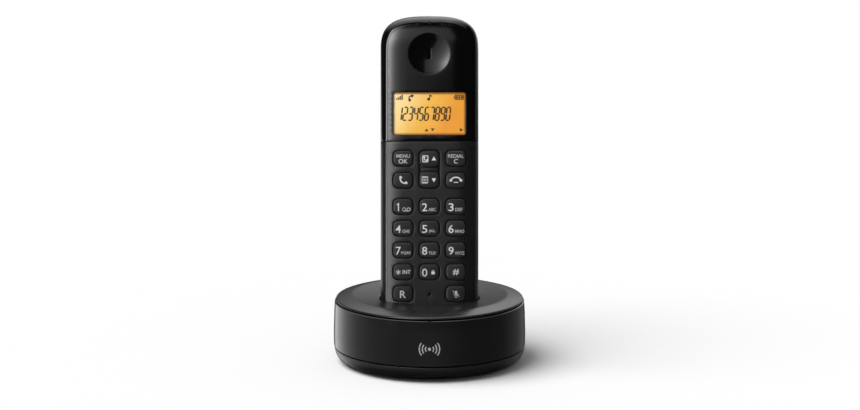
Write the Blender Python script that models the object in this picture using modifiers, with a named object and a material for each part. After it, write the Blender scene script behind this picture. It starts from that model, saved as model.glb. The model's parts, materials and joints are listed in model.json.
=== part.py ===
"""A cordless telephone handset standing in its round charging base.

The base is turned about the vertical Z axis and stands on the plane z = 0, with its front facing -Y.
The handset leans back in the base's pocket. Its pieces are modelled in the handset's own frame, which an
empty holds: X across, -Y towards the user's face, and Z along the handset from its lower end to its top.
"""

import math

import bmesh
import bpy
from mathutils import Matrix, Vector

MM = 0.001
GAP = 0.3 * MM  # between pieces that touch on the real object
SCREW_MERGE = 0.00001

# ---------------------------------------------------------------- base station, driving dimensions
BASE_RADIUS = 46.4 * MM  # widest point of the glossy band
FLOOR_Z = 0.8 * MM  # underside of the bottom tray; the feet reach down to zero
SEAM_Z = 7.7 * MM  # joint between bottom tray and side band
BAND_TOP_Z = 30.4 * MM
RIM_RADIUS = 45.0 * MM
CREST_RADIUS = 37.2 * MM  # the ridge where the rim turns down into the dish
CREST_Z = 32.7 * MM
DISH_Z = 30.1 * MM  # middle of the dish
BASE_WALL = 2.0 * MM
ROUND_STEPS = 48  # facets around the base

# ---------------------------------------------------------------- handset, driving dimensions
LEAN = math.radians(10.0)
SEAT = Vector((0.0, -4.3 * MM, 7.8 * MM))  # the handset's lower end in the base
HALF_WIDTH = 23.5 * MM
LENGTH = 158.0 * MM
TOP_RISE = 17.0 * MM  # height of the rounded top
TOP_POWER = 3.0
TAIL_RISE = 8.0 * MM  # height of the rounded lower end
TAIL_POWER = 3.5
PARTING_Y = -4.5 * MM  # plane between front and rear shells
FACE_Y = -11.5 * MM
BACK_Y = 12.5 * MM
WALL = 1.6 * MM
FOLD_INSET = 2.9 * MM  # the crease that frames the front face
CROWN_DEPTH = 0.8 * MM
CROWN_WIDTH = 12.0 * MM
CROWN_POWER = 2.5
SPLIT_Z = 98.5 * MM  # glossy cover above, satin cover below
END_STEPS = 14  # facets around each rounded end
BACK_STATIONS = [24 * MM, 42 * MM, 60 * MM, 80 * MM, 100 * MM, 121 * MM]

# ---------------------------------------------------------------- keypad
COLUMN = 12.6 * MM
KEY_WIDTH, KEY_HEIGHT, KEY_CORNER = 9.4 * MM, 7.3 * MM, 2.2 * MM
KEY_TOP_Y = FACE_Y - 0.8 * MM
KEY_GAP = 0.35 * MM
ROCKER_PIVOT_Y = -8.0 * MM
FLANGE = 0.7 * MM
FLANGE_FRONT_Y, FLANGE_BACK_Y = -9.1 * MM, -8.6 * MM
ROW_Z = [90.2 * MM, 79.7 * MM, 67.2 * MM, 56.8 * MM, 46.4 * MM, 36.0 * MM, 25.6 * MM]
KEYS = {  # name: (column, row)
    "key_menu": (-1, 0), "key_redial": (1, 0), "key_talk": (-1, 1), "key_end": (1, 1),
    "key_1": (-1, 2), "key_2": (0, 2), "key_3": (1, 2), "key_4": (-1, 3), "key_5": (0, 3), "key_6": (1, 3),
    "key_7": (-1, 4), "key_8": (0, 4), "key_9": (1, 4), "key_star": (-1, 5), "key_0": (0, 5),
    "key_hash": (1, 5), "key_recall": (-1, 6), "key_mute": (1, 6),
}
MEMBRANE_Y = (-7.5 * MM, -6.7 * MM)
BOARD_Y = (-6.4 * MM, -5.4 * MM)

# ---------------------------------------------------------------- display and earpiece
WINDOW_Z = 111.6 * MM
WINDOW_WIDTH, WINDOW_HEIGHT, WINDOW_CORNER = 34.7 * MM, 20.4 * MM, 1.2 * MM
EAR_Z = 140.3 * MM
EAR_RADIUS, EAR_DEPTH = 9.95 * MM, 1.8 * MM
MIC_Z = 25.2 * MM

# ---------------------------------------------------------------- battery compartment
DOOR_HALF = 17.5 * MM
DOOR_Z = (30.5 * MM, 87.0 * MM)
DOOR_GAP = 0.4 * MM
TRAY_HALF = 12.8 * MM
TRAY_Z = (33.0 * MM, 84.6 * MM)
TRAY_FLOOR_Y = -2.4 * MM
TRAY_WALL = 1.1 * MM
CELL_RADIUS, CELL_LENGTH = 5.2 * MM, 44.5 * MM
CELL_X, CELL_Y = 5.7 * MM, 3.2 * MM
LEDGE_Y = (6.2 * MM, 7.3 * MM)

# ---------------------------------------------------------------- charging contacts, sockets, fasteners
CONTACT_X, CONTACT_Y = 12.0 * MM, -1.2 * MM
POCKET_CLEARANCE = 0.6 * MM
POCKET_WALL = 1.7 * MM
SOCKET_X, SOCKET_FACE_Y = 10.5 * MM, 43.0 * MM
LINE_SOCKET_SIZE = (13.0 * MM, 13.5 * MM, 12.0 * MM)
POWER_SOCKET_SIZE = (9.0 * MM, 12.0 * MM, 9.0 * MM)
BASE_BOARD_Z = (8.0 * MM, 9.2 * MM)
SOCKET_FLOOR_Z = BASE_BOARD_Z[1] + GAP
PAGE_Z, PAGE_RADIUS = 16.0 * MM, 3.0 * MM
BASE_SCREWS = [(-31.0 * MM, -18.0 * MM), (31.0 * MM, -18.0 * MM), (0.0, 27.0 * MM)]
FEET = [(24.0 * MM, 24.0 * MM), (-24.0 * MM, 24.0 * MM), (-24.0 * MM, -24.0 * MM), (24.0 * MM, -24.0 * MM)]


# ================================================================ scene, materials and small helpers
for old in list(bpy.data.objects):
    bpy.data.objects.remove(old, do_unlink=True)

PARTS = bpy.data.collections.new("cordless_phone")
CUTTERS = bpy.data.collections.new("cutters")
bpy.context.scene.collection.children.link(PARTS)
bpy.context.scene.collection.children.link(CUTTERS)

handset = bpy.data.objects.new("handset_frame", None)
PARTS.objects.link(handset)
handset.location = SEAT
handset.rotation_euler = (-LEAN, 0.0, 0.0)


def make_material(name, color, roughness, metallic=0.0):
    made = bpy.data.materials.new(name)
    made.use_nodes = True
    shader = made.node_tree.nodes["Principled BSDF"]
    shader.inputs["Base Color"].default_value = (*color, 1.0)
    shader.inputs["Roughness"].default_value = roughness
    shader.inputs["Metallic"].default_value = metallic
    return made


GLOSS = make_material("gloss_black", (0.008, 0.008, 0.009), 0.08)
SATIN = make_material("satin_charcoal", (0.028, 0.028, 0.030), 0.42)
BASE_SATIN = make_material("satin_black", (0.016, 0.016, 0.017), 0.38)
KEY = make_material("key_charcoal", (0.022, 0.022, 0.024), 0.45)
RUBBER = make_material("rubber", (0.03, 0.03, 0.03), 0.8)
CLEAR = make_material("window", (0.9, 0.9, 0.9), 0.05)
AMBER = make_material("amber_display", (0.95, 0.55, 0.15), 0.4)
BOARD = make_material("circuit_board", (0.02, 0.12, 0.05), 0.5)
METAL = make_material("plated_contact", (0.85, 0.78, 0.6), 0.25, 1.0)
STEEL = make_material("steel", (0.55, 0.55, 0.56), 0.35, 1.0)
CELL = make_material("cell_wrap", (0.1, 0.35, 0.15), 0.4)
SOCKET = make_material("socket_black", (0.02, 0.02, 0.02), 0.5)


def add(name, bm, material=None, parent=None, location=(0, 0, 0), rotation=(0, 0, 0), cutter=False):
    """Puts a bmesh in the scene as one named object."""
    mesh = bpy.data.meshes.new(name)
    bm.to_mesh(mesh)
    bm.free()
    mesh.shade_smooth()
    mesh.set_sharp_from_angle(angle=math.radians(35.0))
    obj = bpy.data.objects.new(name, mesh)
    (CUTTERS if cutter else PARTS).objects.link(obj)
    if material:
        mesh.materials.append(material)
    obj.parent = parent
    obj.location = location
    obj.rotation_euler = rotation
    if cutter:
        obj.hide_render = True
        obj.display_type = "WIRE"
    return obj


def boolean(target, other, operation):
    modifier = target.modifiers.new(f"{operation.lower()}_{other.name}", "BOOLEAN")
    modifier.operation = operation
    modifier.object = other


def block_mesh(low, high):
    """A box from its lowest corner to its highest."""
    bm = bmesh.new()
    bmesh.ops.create_cube(bm, size=1.0)
    size = Vector(high) - Vector(low)
    bmesh.ops.scale(bm, vec=size, verts=bm.verts)
    bmesh.ops.translate(bm, vec=(Vector(low) + Vector(high)) / 2, verts=bm.verts)
    return bm


def cylinder_mesh(radius, low, high, centre=(0.0, 0.0), segments=24):
    """An upright cylinder between two heights."""
    bm = bmesh.new()
    bmesh.ops.create_cone(bm, cap_ends=True, segments=segments, radius1=radius, radius2=radius, depth=high - low)
    bmesh.ops.translate(bm, vec=(*centre, (low + high) / 2), verts=bm.verts)
    return bm


def rounded_block_mesh(width, height, front_y, back_y, corner, steps=4, centre=(0.0, 0.0)):
    """A plate facing -Y with its four corners rounded."""
    x, z = centre
    bm = block_mesh((x - width / 2, front_y, z - height / 2), (x + width / 2, back_y, z + height / 2))
    edges = [e for e in bm.edges if abs((e.verts[0].co - e.verts[1].co).y) > MM / 10]
    bmesh.ops.bevel(bm, geom=edges, offset=corner, segments=steps, affect="EDGES", profile=0.5)
    return bm


def merge_meshes(parts):
    """Several bmeshes in one, for a cutter with many teeth."""
    merged = bmesh.new()
    for part in parts:
        mesh = bpy.data.meshes.new("scratch")
        part.to_mesh(mesh)
        part.free()
        merged.from_mesh(mesh)
        bpy.data.meshes.remove(mesh)
    return merged


def turned(name, profile, material=None, steps=24, **placing):
    """A profile of (radius, height) points, outer side running downwards, turned about Z."""
    bm = bmesh.new()
    points = [bm.verts.new((radius, 0.0, height)) for radius, height in profile]
    for first, second in zip(points, points[1:]):
        bm.edges.new((first, second))
    obj = add(name, bm, material, **placing)
    screw = obj.modifiers.new("turn", "SCREW")
    screw.steps = screw.render_steps = steps
    screw.use_merge_vertices = True
    screw.merge_threshold = SCREW_MERGE
    screw.use_smooth_shade = True
    return obj


def ribbon_mesh(path, thickness, width):
    """Bent strip metal: a path of (y, z) points given a thickness, then a width across X."""
    points = [Vector(p) for p in path]
    sides = []
    for sign in (1.0, -1.0):
        side = []
        for i, point in enumerate(points):
            before = (point - points[i - 1]).normalized() if i else None
            after = (points[i + 1] - point).normalized() if i + 1 < len(points) else None
            ways = [w for w in (before, after) if w is not None]
            normal = sum((Vector((-w.y, w.x)) for w in ways), Vector((0.0, 0.0))).normalized()
            stretch = 1.0 / max(0.5, normal.dot(Vector((-ways[0].y, ways[0].x))))
            side.append(point + normal * sign * stretch * thickness / 2)
        sides.append(side)
    bm = bmesh.new()
    outline = sides[0] + sides[1][::-1]
    face = bm.faces.new([bm.verts.new((-width / 2, y, z)) for y, z in outline])
    moved = bmesh.ops.extrude_face_region(bm, geom=[face])["geom"]
    bmesh.ops.translate(bm, vec=(width, 0, 0), verts=[v for v in moved if isinstance(v, bmesh.types.BMVert)])
    bmesh.ops.recalc_face_normals(bm, faces=bm.faces)
    return bm


# ================================================================ the handset's skin
def superellipse_end(half_width, rise, power, steps, start):
    """Half a superellipse from the right side to the left, or from the left to the right below."""
    points = []
    for i in range(steps + 1):
        angle = start + math.pi * i / steps
        c, s = math.cos(angle), math.sin(angle)
        x = half_width * math.copysign(abs(c) ** (2.0 / power), c) if abs(c) > 1e-9 else 0.0
        z = rise * math.copysign(abs(s) ** (2.0 / power), s) if abs(s) > 1e-9 else 0.0
        points.append((x, z))
    return points


def handset_outline(inset, stations):
    """The outline seen from the front, moved inwards by inset, anticlockwise from the right of the top.

    The stations are the heights of the extra points along the straight sides."""
    top = superellipse_end(HALF_WIDTH - inset, TOP_RISE - inset, TOP_POWER, END_STEPS, 0.0)
    tail = superellipse_end(HALF_WIDTH - inset, TAIL_RISE - min(inset, TAIL_RISE * 0.9), TAIL_POWER, END_STEPS,
                            math.pi)
    above = [(x, LENGTH - TOP_RISE + z) for x, z in top]
    tail_drop = max(0.0, inset - TAIL_RISE * 0.9)
    below = [(x, TAIL_RISE + tail_drop + z) for x, z in tail]
    left_side = [(inset - HALF_WIDTH, z) for z in stations[::-1]]
    right_side = [(HALF_WIDTH - inset, z) for z in stations]
    return above + left_side + below + right_side


def crown_y(inset):
    """Height of the gently crowned front face, inside the fold."""
    share = max(0.0, 1.0 - (inset - FOLD_INSET) / CROWN_WIDTH)
    return FACE_Y + CROWN_DEPTH * share**CROWN_POWER


FRONT_PROFILE = [
    (0.0, PARTING_Y), (0.12 * MM, -6.8 * MM), (0.6 * MM, -8.6 * MM), (1.6 * MM, -9.9 * MM),
    *[(inset * MM, crown_y(inset * MM)) for inset in (2.9, 5.0, 8.0, 14.9)],
]
REAR_PROFILE = [
    (0.0, PARTING_Y + GAP), (0.0, -2.0 * MM), (0.5 * MM, 2.0 * MM), (1.7 * MM, 6.0 * MM), (4.2 * MM, 9.5 * MM),
    (8.0 * MM, 11.6 * MM), (13.0 * MM, BACK_Y),
]


def rear_scale(z):
    """The back thins towards the top and, less, towards the lower end."""
    middle = 60.0 * MM
    if z > middle:
        return 1.0 - 0.26 * ((z - middle) / (LENGTH - middle)) ** 2
    return 1.0 - 0.12 * ((middle - z) / middle) ** 2


def skin(name, profile, facing, material, cutter=False):
    """Half of the handset's outer surface, lofted over the profile's rings and thickened inwards."""
    bm = bmesh.new()
    rings = []
    for inset, y in profile:
        ring = []
        for x, z in handset_outline(inset, [] if facing < 0 else BACK_STATIONS):
            depth = y if facing < 0 else PARTING_Y + (y - PARTING_Y) * rear_scale(z)
            ring.append(bm.verts.new((x, depth, z)))
        rings.append(ring)
    count = len(rings[0])
    for outer, inner in zip(rings, rings[1:]):
        for i in range(count):
            j = (i + 1) % count
            bm.faces.new((outer[i], outer[j], inner[j], inner[i]))
    last, top_middle = rings[-1], END_STEPS // 2
    for i in range(count // 2):
        places = (top_middle - i, top_middle + i, top_middle + i + 1, top_middle - i - 1)
        bm.faces.new(list(dict.fromkeys(last[place % count] for place in places)))
    if facing > 0:
        bmesh.ops.reverse_faces(bm, faces=bm.faces)
    obj = add(name, bm, material, parent=handset, cutter=cutter)
    solidify = obj.modifiers.new("wall", "SOLIDIFY")
    solidify.thickness = WALL
    solidify.offset = -1.0
    return obj


def key_position(column, row):
    return column * COLUMN, ROW_Z[row]


def cutter_block(name, low, high, parent=handset):
    return add(name, block_mesh(low, high), parent=parent, cutter=True)


def handset_front():
    """The glossy upper cover, the satin lower cover and the clear window between them."""
    reach = 40.0 * MM
    upper = skin("handset_front_upper", FRONT_PROFILE, -1, GLOSS)
    boolean(upper, cutter_block("below_split", (-reach, -reach, -reach), (reach, reach, SPLIT_Z + GAP / 2)),
            "DIFFERENCE")
    boss = add("ear_boss", cylinder_mesh(11.2 * MM, 8.2 * MM, 10.7 * MM, segments=32), parent=handset,
               location=(0, 0, EAR_Z), rotation=(math.pi / 2, 0, 0), cutter=True)
    boolean(upper, boss, "UNION")
    sphere_radius = (EAR_RADIUS**2 + EAR_DEPTH**2) / (2 * EAR_DEPTH)
    bowl = bmesh.new()
    bmesh.ops.create_uvsphere(bowl, u_segments=32, v_segments=40, radius=sphere_radius)
    bowl = add("ear_bowl", bowl, parent=handset, location=(0, FACE_Y + EAR_DEPTH - sphere_radius, EAR_Z),
               rotation=(math.pi / 2, 0, 0), cutter=True)
    boolean(upper, bowl, "DIFFERENCE")
    slot = rounded_block_mesh(1.2 * MM, 5.2 * MM, FACE_Y - MM, -6.0 * MM, 0.55 * MM, 3, (0.0, EAR_Z))
    boolean(upper, add("ear_slot", slot, parent=handset, cutter=True), "DIFFERENCE")
    window_hole = rounded_block_mesh(WINDOW_WIDTH, WINDOW_HEIGHT, -20 * MM, -6 * MM, WINDOW_CORNER, 3, (0, WINDOW_Z))
    boolean(upper, add("window_hole", window_hole, parent=handset, cutter=True), "DIFFERENCE")

    pane = skin("display_window", FRONT_PROFILE, -1, CLEAR)
    pane_block = rounded_block_mesh(WINDOW_WIDTH - 2 * GAP, WINDOW_HEIGHT - 2 * GAP, -20 * MM, -6 * MM,
                                    WINDOW_CORNER - GAP, 3, (0, WINDOW_Z))
    boolean(pane, add("pane_block", pane_block, parent=handset, cutter=True), "INTERSECT")

    lower = skin("handset_front_lower", FRONT_PROFILE, -1, SATIN)
    boolean(lower, cutter_block("above_split", (-reach, -reach, SPLIT_Z - GAP / 2), (reach, reach, LENGTH + reach)),
            "DIFFERENCE")
    holes = []
    for column, row in KEYS.values():
        holes.append(rounded_block_mesh(KEY_WIDTH + 2 * KEY_GAP, KEY_HEIGHT + 2 * KEY_GAP, -20 * MM, -6 * MM,
                                        KEY_CORNER + KEY_GAP, 2, key_position(column, row)))
    holes.append(rounded_block_mesh(KEY_WIDTH + 2 * KEY_GAP, rocker_length() + 2 * KEY_GAP, -20 * MM, -6 * MM,
                                    KEY_CORNER + KEY_GAP, 2, (0.0, rocker_z())))
    holes.append(rounded_block_mesh(1.2 * MM, 1.0 * MM, -20 * MM, -6 * MM, 0.4 * MM, 2, (0.0, MIC_Z)))
    boolean(lower, add("key_holes", merge_meshes(holes), parent=handset, cutter=True), "DIFFERENCE")


# ================================================================ keys
def rocker_z():
    return (ROW_Z[0] + ROW_Z[1]) / 2


def rocker_length():
    return ROW_Z[0] - ROW_Z[1] + KEY_HEIGHT


def flanged_key_mesh(width, height, top_y, corner, edge):
    """A rounded cap that stands on a wider flange, facing -Y, centred on the origin."""
    bm = rounded_block_mesh(width + 2 * FLANGE, height + 2 * FLANGE, FLANGE_FRONT_Y, FLANGE_BACK_Y, corner + FLANGE, 2)
    front = min(bm.faces, key=lambda f: f.calc_center_median().y)
    bmesh.ops.inset_region(bm, faces=[front], thickness=FLANGE)
    raised = bmesh.ops.extrude_face_region(bm, geom=[front])["geom"]
    verts = [v for v in raised if isinstance(v, bmesh.types.BMVert)]
    bmesh.ops.delete(bm, geom=[front], context="FACES_ONLY")
    bmesh.ops.translate(bm, vec=(0, top_y - FLANGE_FRONT_Y, 0), verts=verts)
    rim = [e for e in bm.edges if all(v in verts for v in e.verts)]
    bmesh.ops.bevel(bm, geom=rim, offset=edge, segments=1, affect="EDGES")
    bmesh.ops.recalc_face_normals(bm, faces=bm.faces)
    return bm


def keypad():
    for name, (column, row) in KEYS.items():
        x, z = key_position(column, row)
        add(name, flanged_key_mesh(KEY_WIDTH, KEY_HEIGHT, KEY_TOP_Y, KEY_CORNER, 0.45 * MM), KEY, handset, (x, 0, z))
    waist = 0.3 * MM  # the bridge between the two pads is a little narrower than they are
    bridge = flanged_key_mesh(KEY_WIDTH - 2 * waist, rocker_length() - 2 * waist, FACE_Y - 0.15 * MM,
                              KEY_CORNER - waist, 0.3 * MM)
    bmesh.ops.translate(bridge, vec=(0, -ROCKER_PIVOT_Y, 0), verts=bridge.verts)
    rocker = add("key_rocker", bridge, KEY, handset, (0, ROCKER_PIVOT_Y, rocker_z()))
    for label, offset in (("up", ROW_Z[0] - rocker_z()), ("down", ROW_Z[1] - rocker_z())):
        pad = rounded_block_mesh(KEY_WIDTH, KEY_HEIGHT, KEY_TOP_Y, -9.7 * MM, KEY_CORNER, 2, (0.0, offset))
        rim = list(front_edges(pad))
        bmesh.ops.bevel(pad, geom=rim, offset=0.45 * MM, segments=1, affect="EDGES")
        boolean(rocker, add(f"rocker_pad_{label}", pad, parent=handset, location=(0, 0, rocker_z()), cutter=True),
                "UNION")
    membrane = rounded_block_mesh(36.6 * MM, 77.0 * MM, *MEMBRANE_Y, 3.0 * MM, 3, (0.0, 58.0 * MM))
    add("keypad_membrane", membrane, RUBBER, handset)


def front_edges(bm):
    """The edges around the face that looks most towards -Y."""
    return min(bm.faces, key=lambda f: f.calc_center_median().y).edges


# ================================================================ rear shell, battery compartment and door
def door_hinge():
    """An empty on the door's hinge axis, along its lower outer edge."""
    height = DOOR_Z[0] + DOOR_GAP
    hinge = bpy.data.objects.new("battery_door_hinge", None)
    PARTS.objects.link(hinge)
    hinge.parent = handset
    hinge.location = (0, PARTING_Y + (BACK_Y - PARTING_Y) * rear_scale(height), height)
    return hinge


def handset_rear():
    rear = skin("handset_rear_shell", REAR_PROFILE, 1, SATIN)
    hole = rounded_block_mesh(2 * DOOR_HALF, DOOR_Z[1] - DOOR_Z[0], 0.0, 30 * MM, 2.0 * MM, 3, (0.0, sum(DOOR_Z) / 2))
    boolean(rear, add("door_hole", hole, parent=handset, cutter=True), "DIFFERENCE")
    ledge = rounded_block_mesh(39.6 * MM, 60.5 * MM, *LEDGE_Y, 2.0 * MM, 3, (0.0, sum(DOOR_Z) / 2))
    boolean(rear, add("door_ledge", ledge, parent=handset, cutter=True), "UNION")
    tray = block_mesh((-TRAY_HALF - TRAY_WALL, TRAY_FLOOR_Y - TRAY_WALL, TRAY_Z[0] - TRAY_WALL),
                      (TRAY_HALF + TRAY_WALL, LEDGE_Y[1] - 0.4 * MM, TRAY_Z[1] + TRAY_WALL))
    boolean(rear, add("tray_block", tray, parent=handset, cutter=True), "UNION")
    boolean(rear, cutter_block("tray_hollow", (-TRAY_HALF, TRAY_FLOOR_Y, TRAY_Z[0]), (TRAY_HALF, 20 * MM, TRAY_Z[1])),
            "DIFFERENCE")
    openings = []
    for i in range(5):
        openings.append(rounded_block_mesh(14.0 * MM, 1.2 * MM, 4 * MM, 20 * MM, 0.5 * MM, 2,
                                           (0.0, (116.0 + 2.6 * (i - 2)) * MM)))
    for side in (-1, 1):
        openings.append(block_mesh((side * CONTACT_X - 2.6 * MM, -3.8 * MM, -3 * MM),
                                   (side * CONTACT_X + 2.6 * MM, 1.4 * MM, 3 * MM)))
        openings.append(block_mesh((side * 15.7 * MM - 1.3 * MM, 3 * MM, 57 * MM),
                                   (side * 15.7 * MM + 1.3 * MM, 9 * MM, 59.6 * MM)))
    boolean(rear, add("rear_openings", merge_meshes(openings), parent=handset, cutter=True), "DIFFERENCE")

    door = skin("battery_door", REAR_PROFILE, 1, SATIN)
    door_block = rounded_block_mesh(2 * (DOOR_HALF - DOOR_GAP), DOOR_Z[1] - DOOR_Z[0] - 2 * DOOR_GAP, 0.0, 30 * MM,
                                    1.6 * MM, 3, (0.0, sum(DOOR_Z) / 2))
    boolean(door, add("door_block", door_block, parent=handset, cutter=True), "INTERSECT")
    hinge = door_hinge()
    door.parent = hinge
    door.location = -hinge.location


def battery_cells():
    """Two cells in series, one turned end for end, each between a spring and a plate."""
    nub_radius, nub_height = 1.9 * MM, 0.9 * MM
    spring_gap = 4.9 * MM
    for name, side, flip in (("left", -1, False), ("right", 1, True)):
        start = TRAY_Z[1] - 0.4 * MM - 0.5 * MM - GAP if not flip else TRAY_Z[0] + 0.4 * MM + 0.5 * MM + GAP
        profile = [(0.0, 0.0), (nub_radius, 0.0), (nub_radius, -nub_height), (CELL_RADIUS - 0.5 * MM, -nub_height),
                   (CELL_RADIUS, -nub_height - 0.5 * MM), (CELL_RADIUS, -CELL_LENGTH), (0.0, -CELL_LENGTH)]
        place = (side * CELL_X, CELL_Y, start)
        turned(f"battery_{name}", profile, CELL, 20, parent=handset, location=place,
               rotation=(math.pi if flip else 0.0, 0, 0))
        plate_z = TRAY_Z[1] - 0.65 * MM if not flip else TRAY_Z[0] + 0.65 * MM
        plate = block_mesh((-4.6 * MM, -4.6 * MM, -0.25 * MM), (4.6 * MM, 4.6 * MM, 0.25 * MM))
        add(f"battery_plate_{name}", plate, METAL, handset, (side * CELL_X, CELL_Y, plate_z))
        low = TRAY_Z[0] + 0.8 * MM if not flip else TRAY_Z[1] - 0.8 * MM - (spring_gap - 1.2 * MM)
        coil = coil_curve(f"battery_spring_{name}", 2.6 * MM, spring_gap - 1.2 * MM, 3, 0.3 * MM)
        coil.parent = handset
        coil.location = (side * CELL_X, CELL_Y, low)


def coil_curve(name, radius, height, turns, wire):
    """A compression spring standing along Z."""
    per_turn = 8
    curve = bpy.data.curves.new(name, "CURVE")
    curve.dimensions = "3D"
    curve.bevel_depth = wire
    curve.bevel_resolution = 1
    curve.use_fill_caps = True
    spline = curve.splines.new("POLY")
    spline.points.add(turns * per_turn)
    for i, point in enumerate(spline.points):
        angle = 2 * math.pi * i / per_turn
        point.co = (radius * math.cos(angle), radius * math.sin(angle), height * i / (turns * per_turn), 1.0)
    obj = bpy.data.objects.new(name, curve)
    curve.materials.append(STEEL)
    PARTS.objects.link(obj)
    return obj


# ================================================================ inside the handset
def handset_insides():
    board = rounded_block_mesh(39.2 * MM, 123.0 * MM, *BOARD_Y, 4.0 * MM, 3, (0.0, 66.5 * MM))
    add("handset_circuit_board", board, BOARD, handset)
    panel = rounded_block_mesh(37.0 * MM, 24.5 * MM, -9.0 * MM, -7.9 * MM, 0.5 * MM, 1, (0.0, WINDOW_Z))
    add("display_panel", panel, AMBER, handset)
    holder = rounded_block_mesh(38.0 * MM, 26.0 * MM, -7.6 * MM, -6.7 * MM, 1.0 * MM, 2, (0.0, WINDOW_Z))
    add("display_holder", holder, SOCKET, handset)
    face_forward = (math.pi / 2, 0, 0)
    turned("earpiece_speaker",
           [(0.0, 7.7 * MM), (8.6 * MM, 7.7 * MM), (9.6 * MM, 7.1 * MM), (9.6 * MM, 5.6 * MM), (6.2 * MM, 5.6 * MM),
            (6.2 * MM, 3.4 * MM), (0.0, 3.4 * MM)], SOCKET, 24, parent=handset, location=(0, 0, EAR_Z),
           rotation=face_forward)
    turned("microphone", [(0.0, 9.3 * MM), (2.0 * MM, 9.3 * MM), (2.0 * MM, 7.9 * MM), (0.0, 7.9 * MM)], STEEL, 12,
           parent=handset, location=(0, 0, MIC_Z), rotation=face_forward)
    turned("ringer_speaker",
           [(0.0, 8.2 * MM), (7.4 * MM, 8.2 * MM), (8.0 * MM, 7.6 * MM), (8.0 * MM, 5.4 * MM), (0.0, 5.4 * MM)],
           SOCKET, 24, parent=handset, location=(0, 0, 116.0 * MM), rotation=(-math.pi / 2, 0, 0))
    plate_path = [(-3.6 * MM, 3.1 * MM), (1.6 * MM, 3.1 * MM), (1.6 * MM, 8.6 * MM)]
    for name, side in (("left", -1), ("right", 1)):
        add(f"handset_contact_{name}", ribbon_mesh(plate_path, 0.5 * MM, 6.4 * MM), METAL, handset,
            (side * CONTACT_X, 0, 0))
        turned(f"handset_screw_{name}", screw_profile(2.0 * MM, 0.9 * MM, 1.0 * MM, 6.0 * MM), STEEL, 12,
               parent=handset, location=(side * 15.7 * MM, LEDGE_Y[1] + GAP, 58.3 * MM),
               rotation=(-math.pi / 2, 0, 0))


def screw_profile(head_radius, head_height, shank_radius, shank_length):
    """A pan-head screw with its head's underside at zero and its shank hanging down."""
    return [(0.0, head_height), (head_radius * 0.7, head_height), (head_radius, head_height * 0.5),
            (head_radius, 0.0), (shank_radius, 0.0), (shank_radius, -shank_length), (0.0, -shank_length)]


# ================================================================ base station
def dish_z(radius):
    """Height of the shallow dish inside the crest."""
    return DISH_Z + (CREST_Z - DISH_Z) * (radius / CREST_RADIUS) ** 2


def pocket_ring(clearance, heights):
    """The handset's cross-section, widened by clearance; heights(x, y) gives each point's place along it."""
    right = [(HALF_WIDTH - inset, y) for inset, y in FRONT_PROFILE[::-1]]
    shrink = rear_scale(21.0 * MM)
    right += [(HALF_WIDTH - inset, PARTING_Y + (y - PARTING_Y) * shrink) for inset, y in REAR_PROFILE[1:]]
    ring = right + [(-x, y) for x, y in right[::-1]]
    wider, deeper = 1 + clearance / HALF_WIDTH, 1 + clearance / (12.0 * MM)
    return [Vector((x * wider, y * deeper, heights(x * wider, y * deeper))) for x, y in ring]


def level(z):
    """Along the leaning handset, the place whose height above the table is z."""
    return lambda x, y: (z - SEAT.z + y * math.sin(LEAN)) / math.cos(LEAN)


def prism_between(name, lower, upper):
    """A closed loft between two rings with the same number of points."""
    bm = bmesh.new()
    rings = [[bm.verts.new(p) for p in ring] for ring in (lower, upper)]
    bm.faces.new(rings[0])
    bm.faces.new(rings[1])
    count = len(lower)
    for i in range(count):
        j = (i + 1) % count
        bm.faces.new((rings[0][i], rings[0][j], rings[1][j], rings[1][i]))
    bmesh.ops.recalc_face_normals(bm, faces=bm.faces)
    return add(name, bm, parent=handset, cutter=True)


def base_top_cover():
    floor = -0.3 * MM
    dish = [(r * MM, dish_z(r * MM)) for r in (0, 12, 20, 27, 33)]
    under = [(r, z - BASE_WALL) for r, z in dish[::-1]]
    profile = [*dish, (CREST_RADIUS - 0.4 * MM, CREST_Z - 0.05 * MM), (CREST_RADIUS + 0.6 * MM, CREST_Z),
               (42.5 * MM, 31.9 * MM), (44.3 * MM, 31.4 * MM), (RIM_RADIUS, BAND_TOP_Z + GAP),
               (42.4 * MM, BAND_TOP_Z + GAP), (42.4 * MM, 26.5 * MM), (41.0 * MM, 26.5 * MM), (41.0 * MM, 29.6 * MM),
               *under]
    cover = turned("base_top_cover", profile, BASE_SATIN, ROUND_STEPS)
    well = prism_between("pocket_block", pocket_ring(POCKET_CLEARANCE + POCKET_WALL, lambda x, y: floor - 1.8 * MM),
                         pocket_ring(POCKET_CLEARANCE + POCKET_WALL, level(DISH_Z - BASE_WALL / 2)))
    boolean(cover, well, "UNION")
    for i, (x, y) in enumerate(BASE_SCREWS):
        top = dish_z(math.hypot(x, y)) - BASE_WALL / 2
        boss = add(f"screw_boss_{i}", cylinder_mesh(2.8 * MM, 7.6 * MM, top, (x, y), 16), cutter=True)
        boolean(cover, boss, "UNION")
    pocket = prism_between("pocket_hollow", pocket_ring(POCKET_CLEARANCE, lambda x, y: floor),
                           pocket_ring(POCKET_CLEARANCE, level(45 * MM)))
    boolean(cover, pocket, "DIFFERENCE")
    slots = [block_mesh((side * CONTACT_X - 2.1 * MM, CONTACT_Y - 2.2 * MM, -8 * MM),
                        (side * CONTACT_X + 2.1 * MM, CONTACT_Y + 2.2 * MM, 2 * MM)) for side in (-1, 1)]
    boolean(cover, add("contact_slots", merge_meshes(slots), parent=handset, cutter=True), "DIFFERENCE")
    pilots = [cylinder_mesh(1.5 * MM, 5 * MM, 14 * MM, place, 12) for place in BASE_SCREWS]
    boolean(cover, add("screw_pilots", merge_meshes(pilots), cutter=True), "DIFFERENCE")


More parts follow.
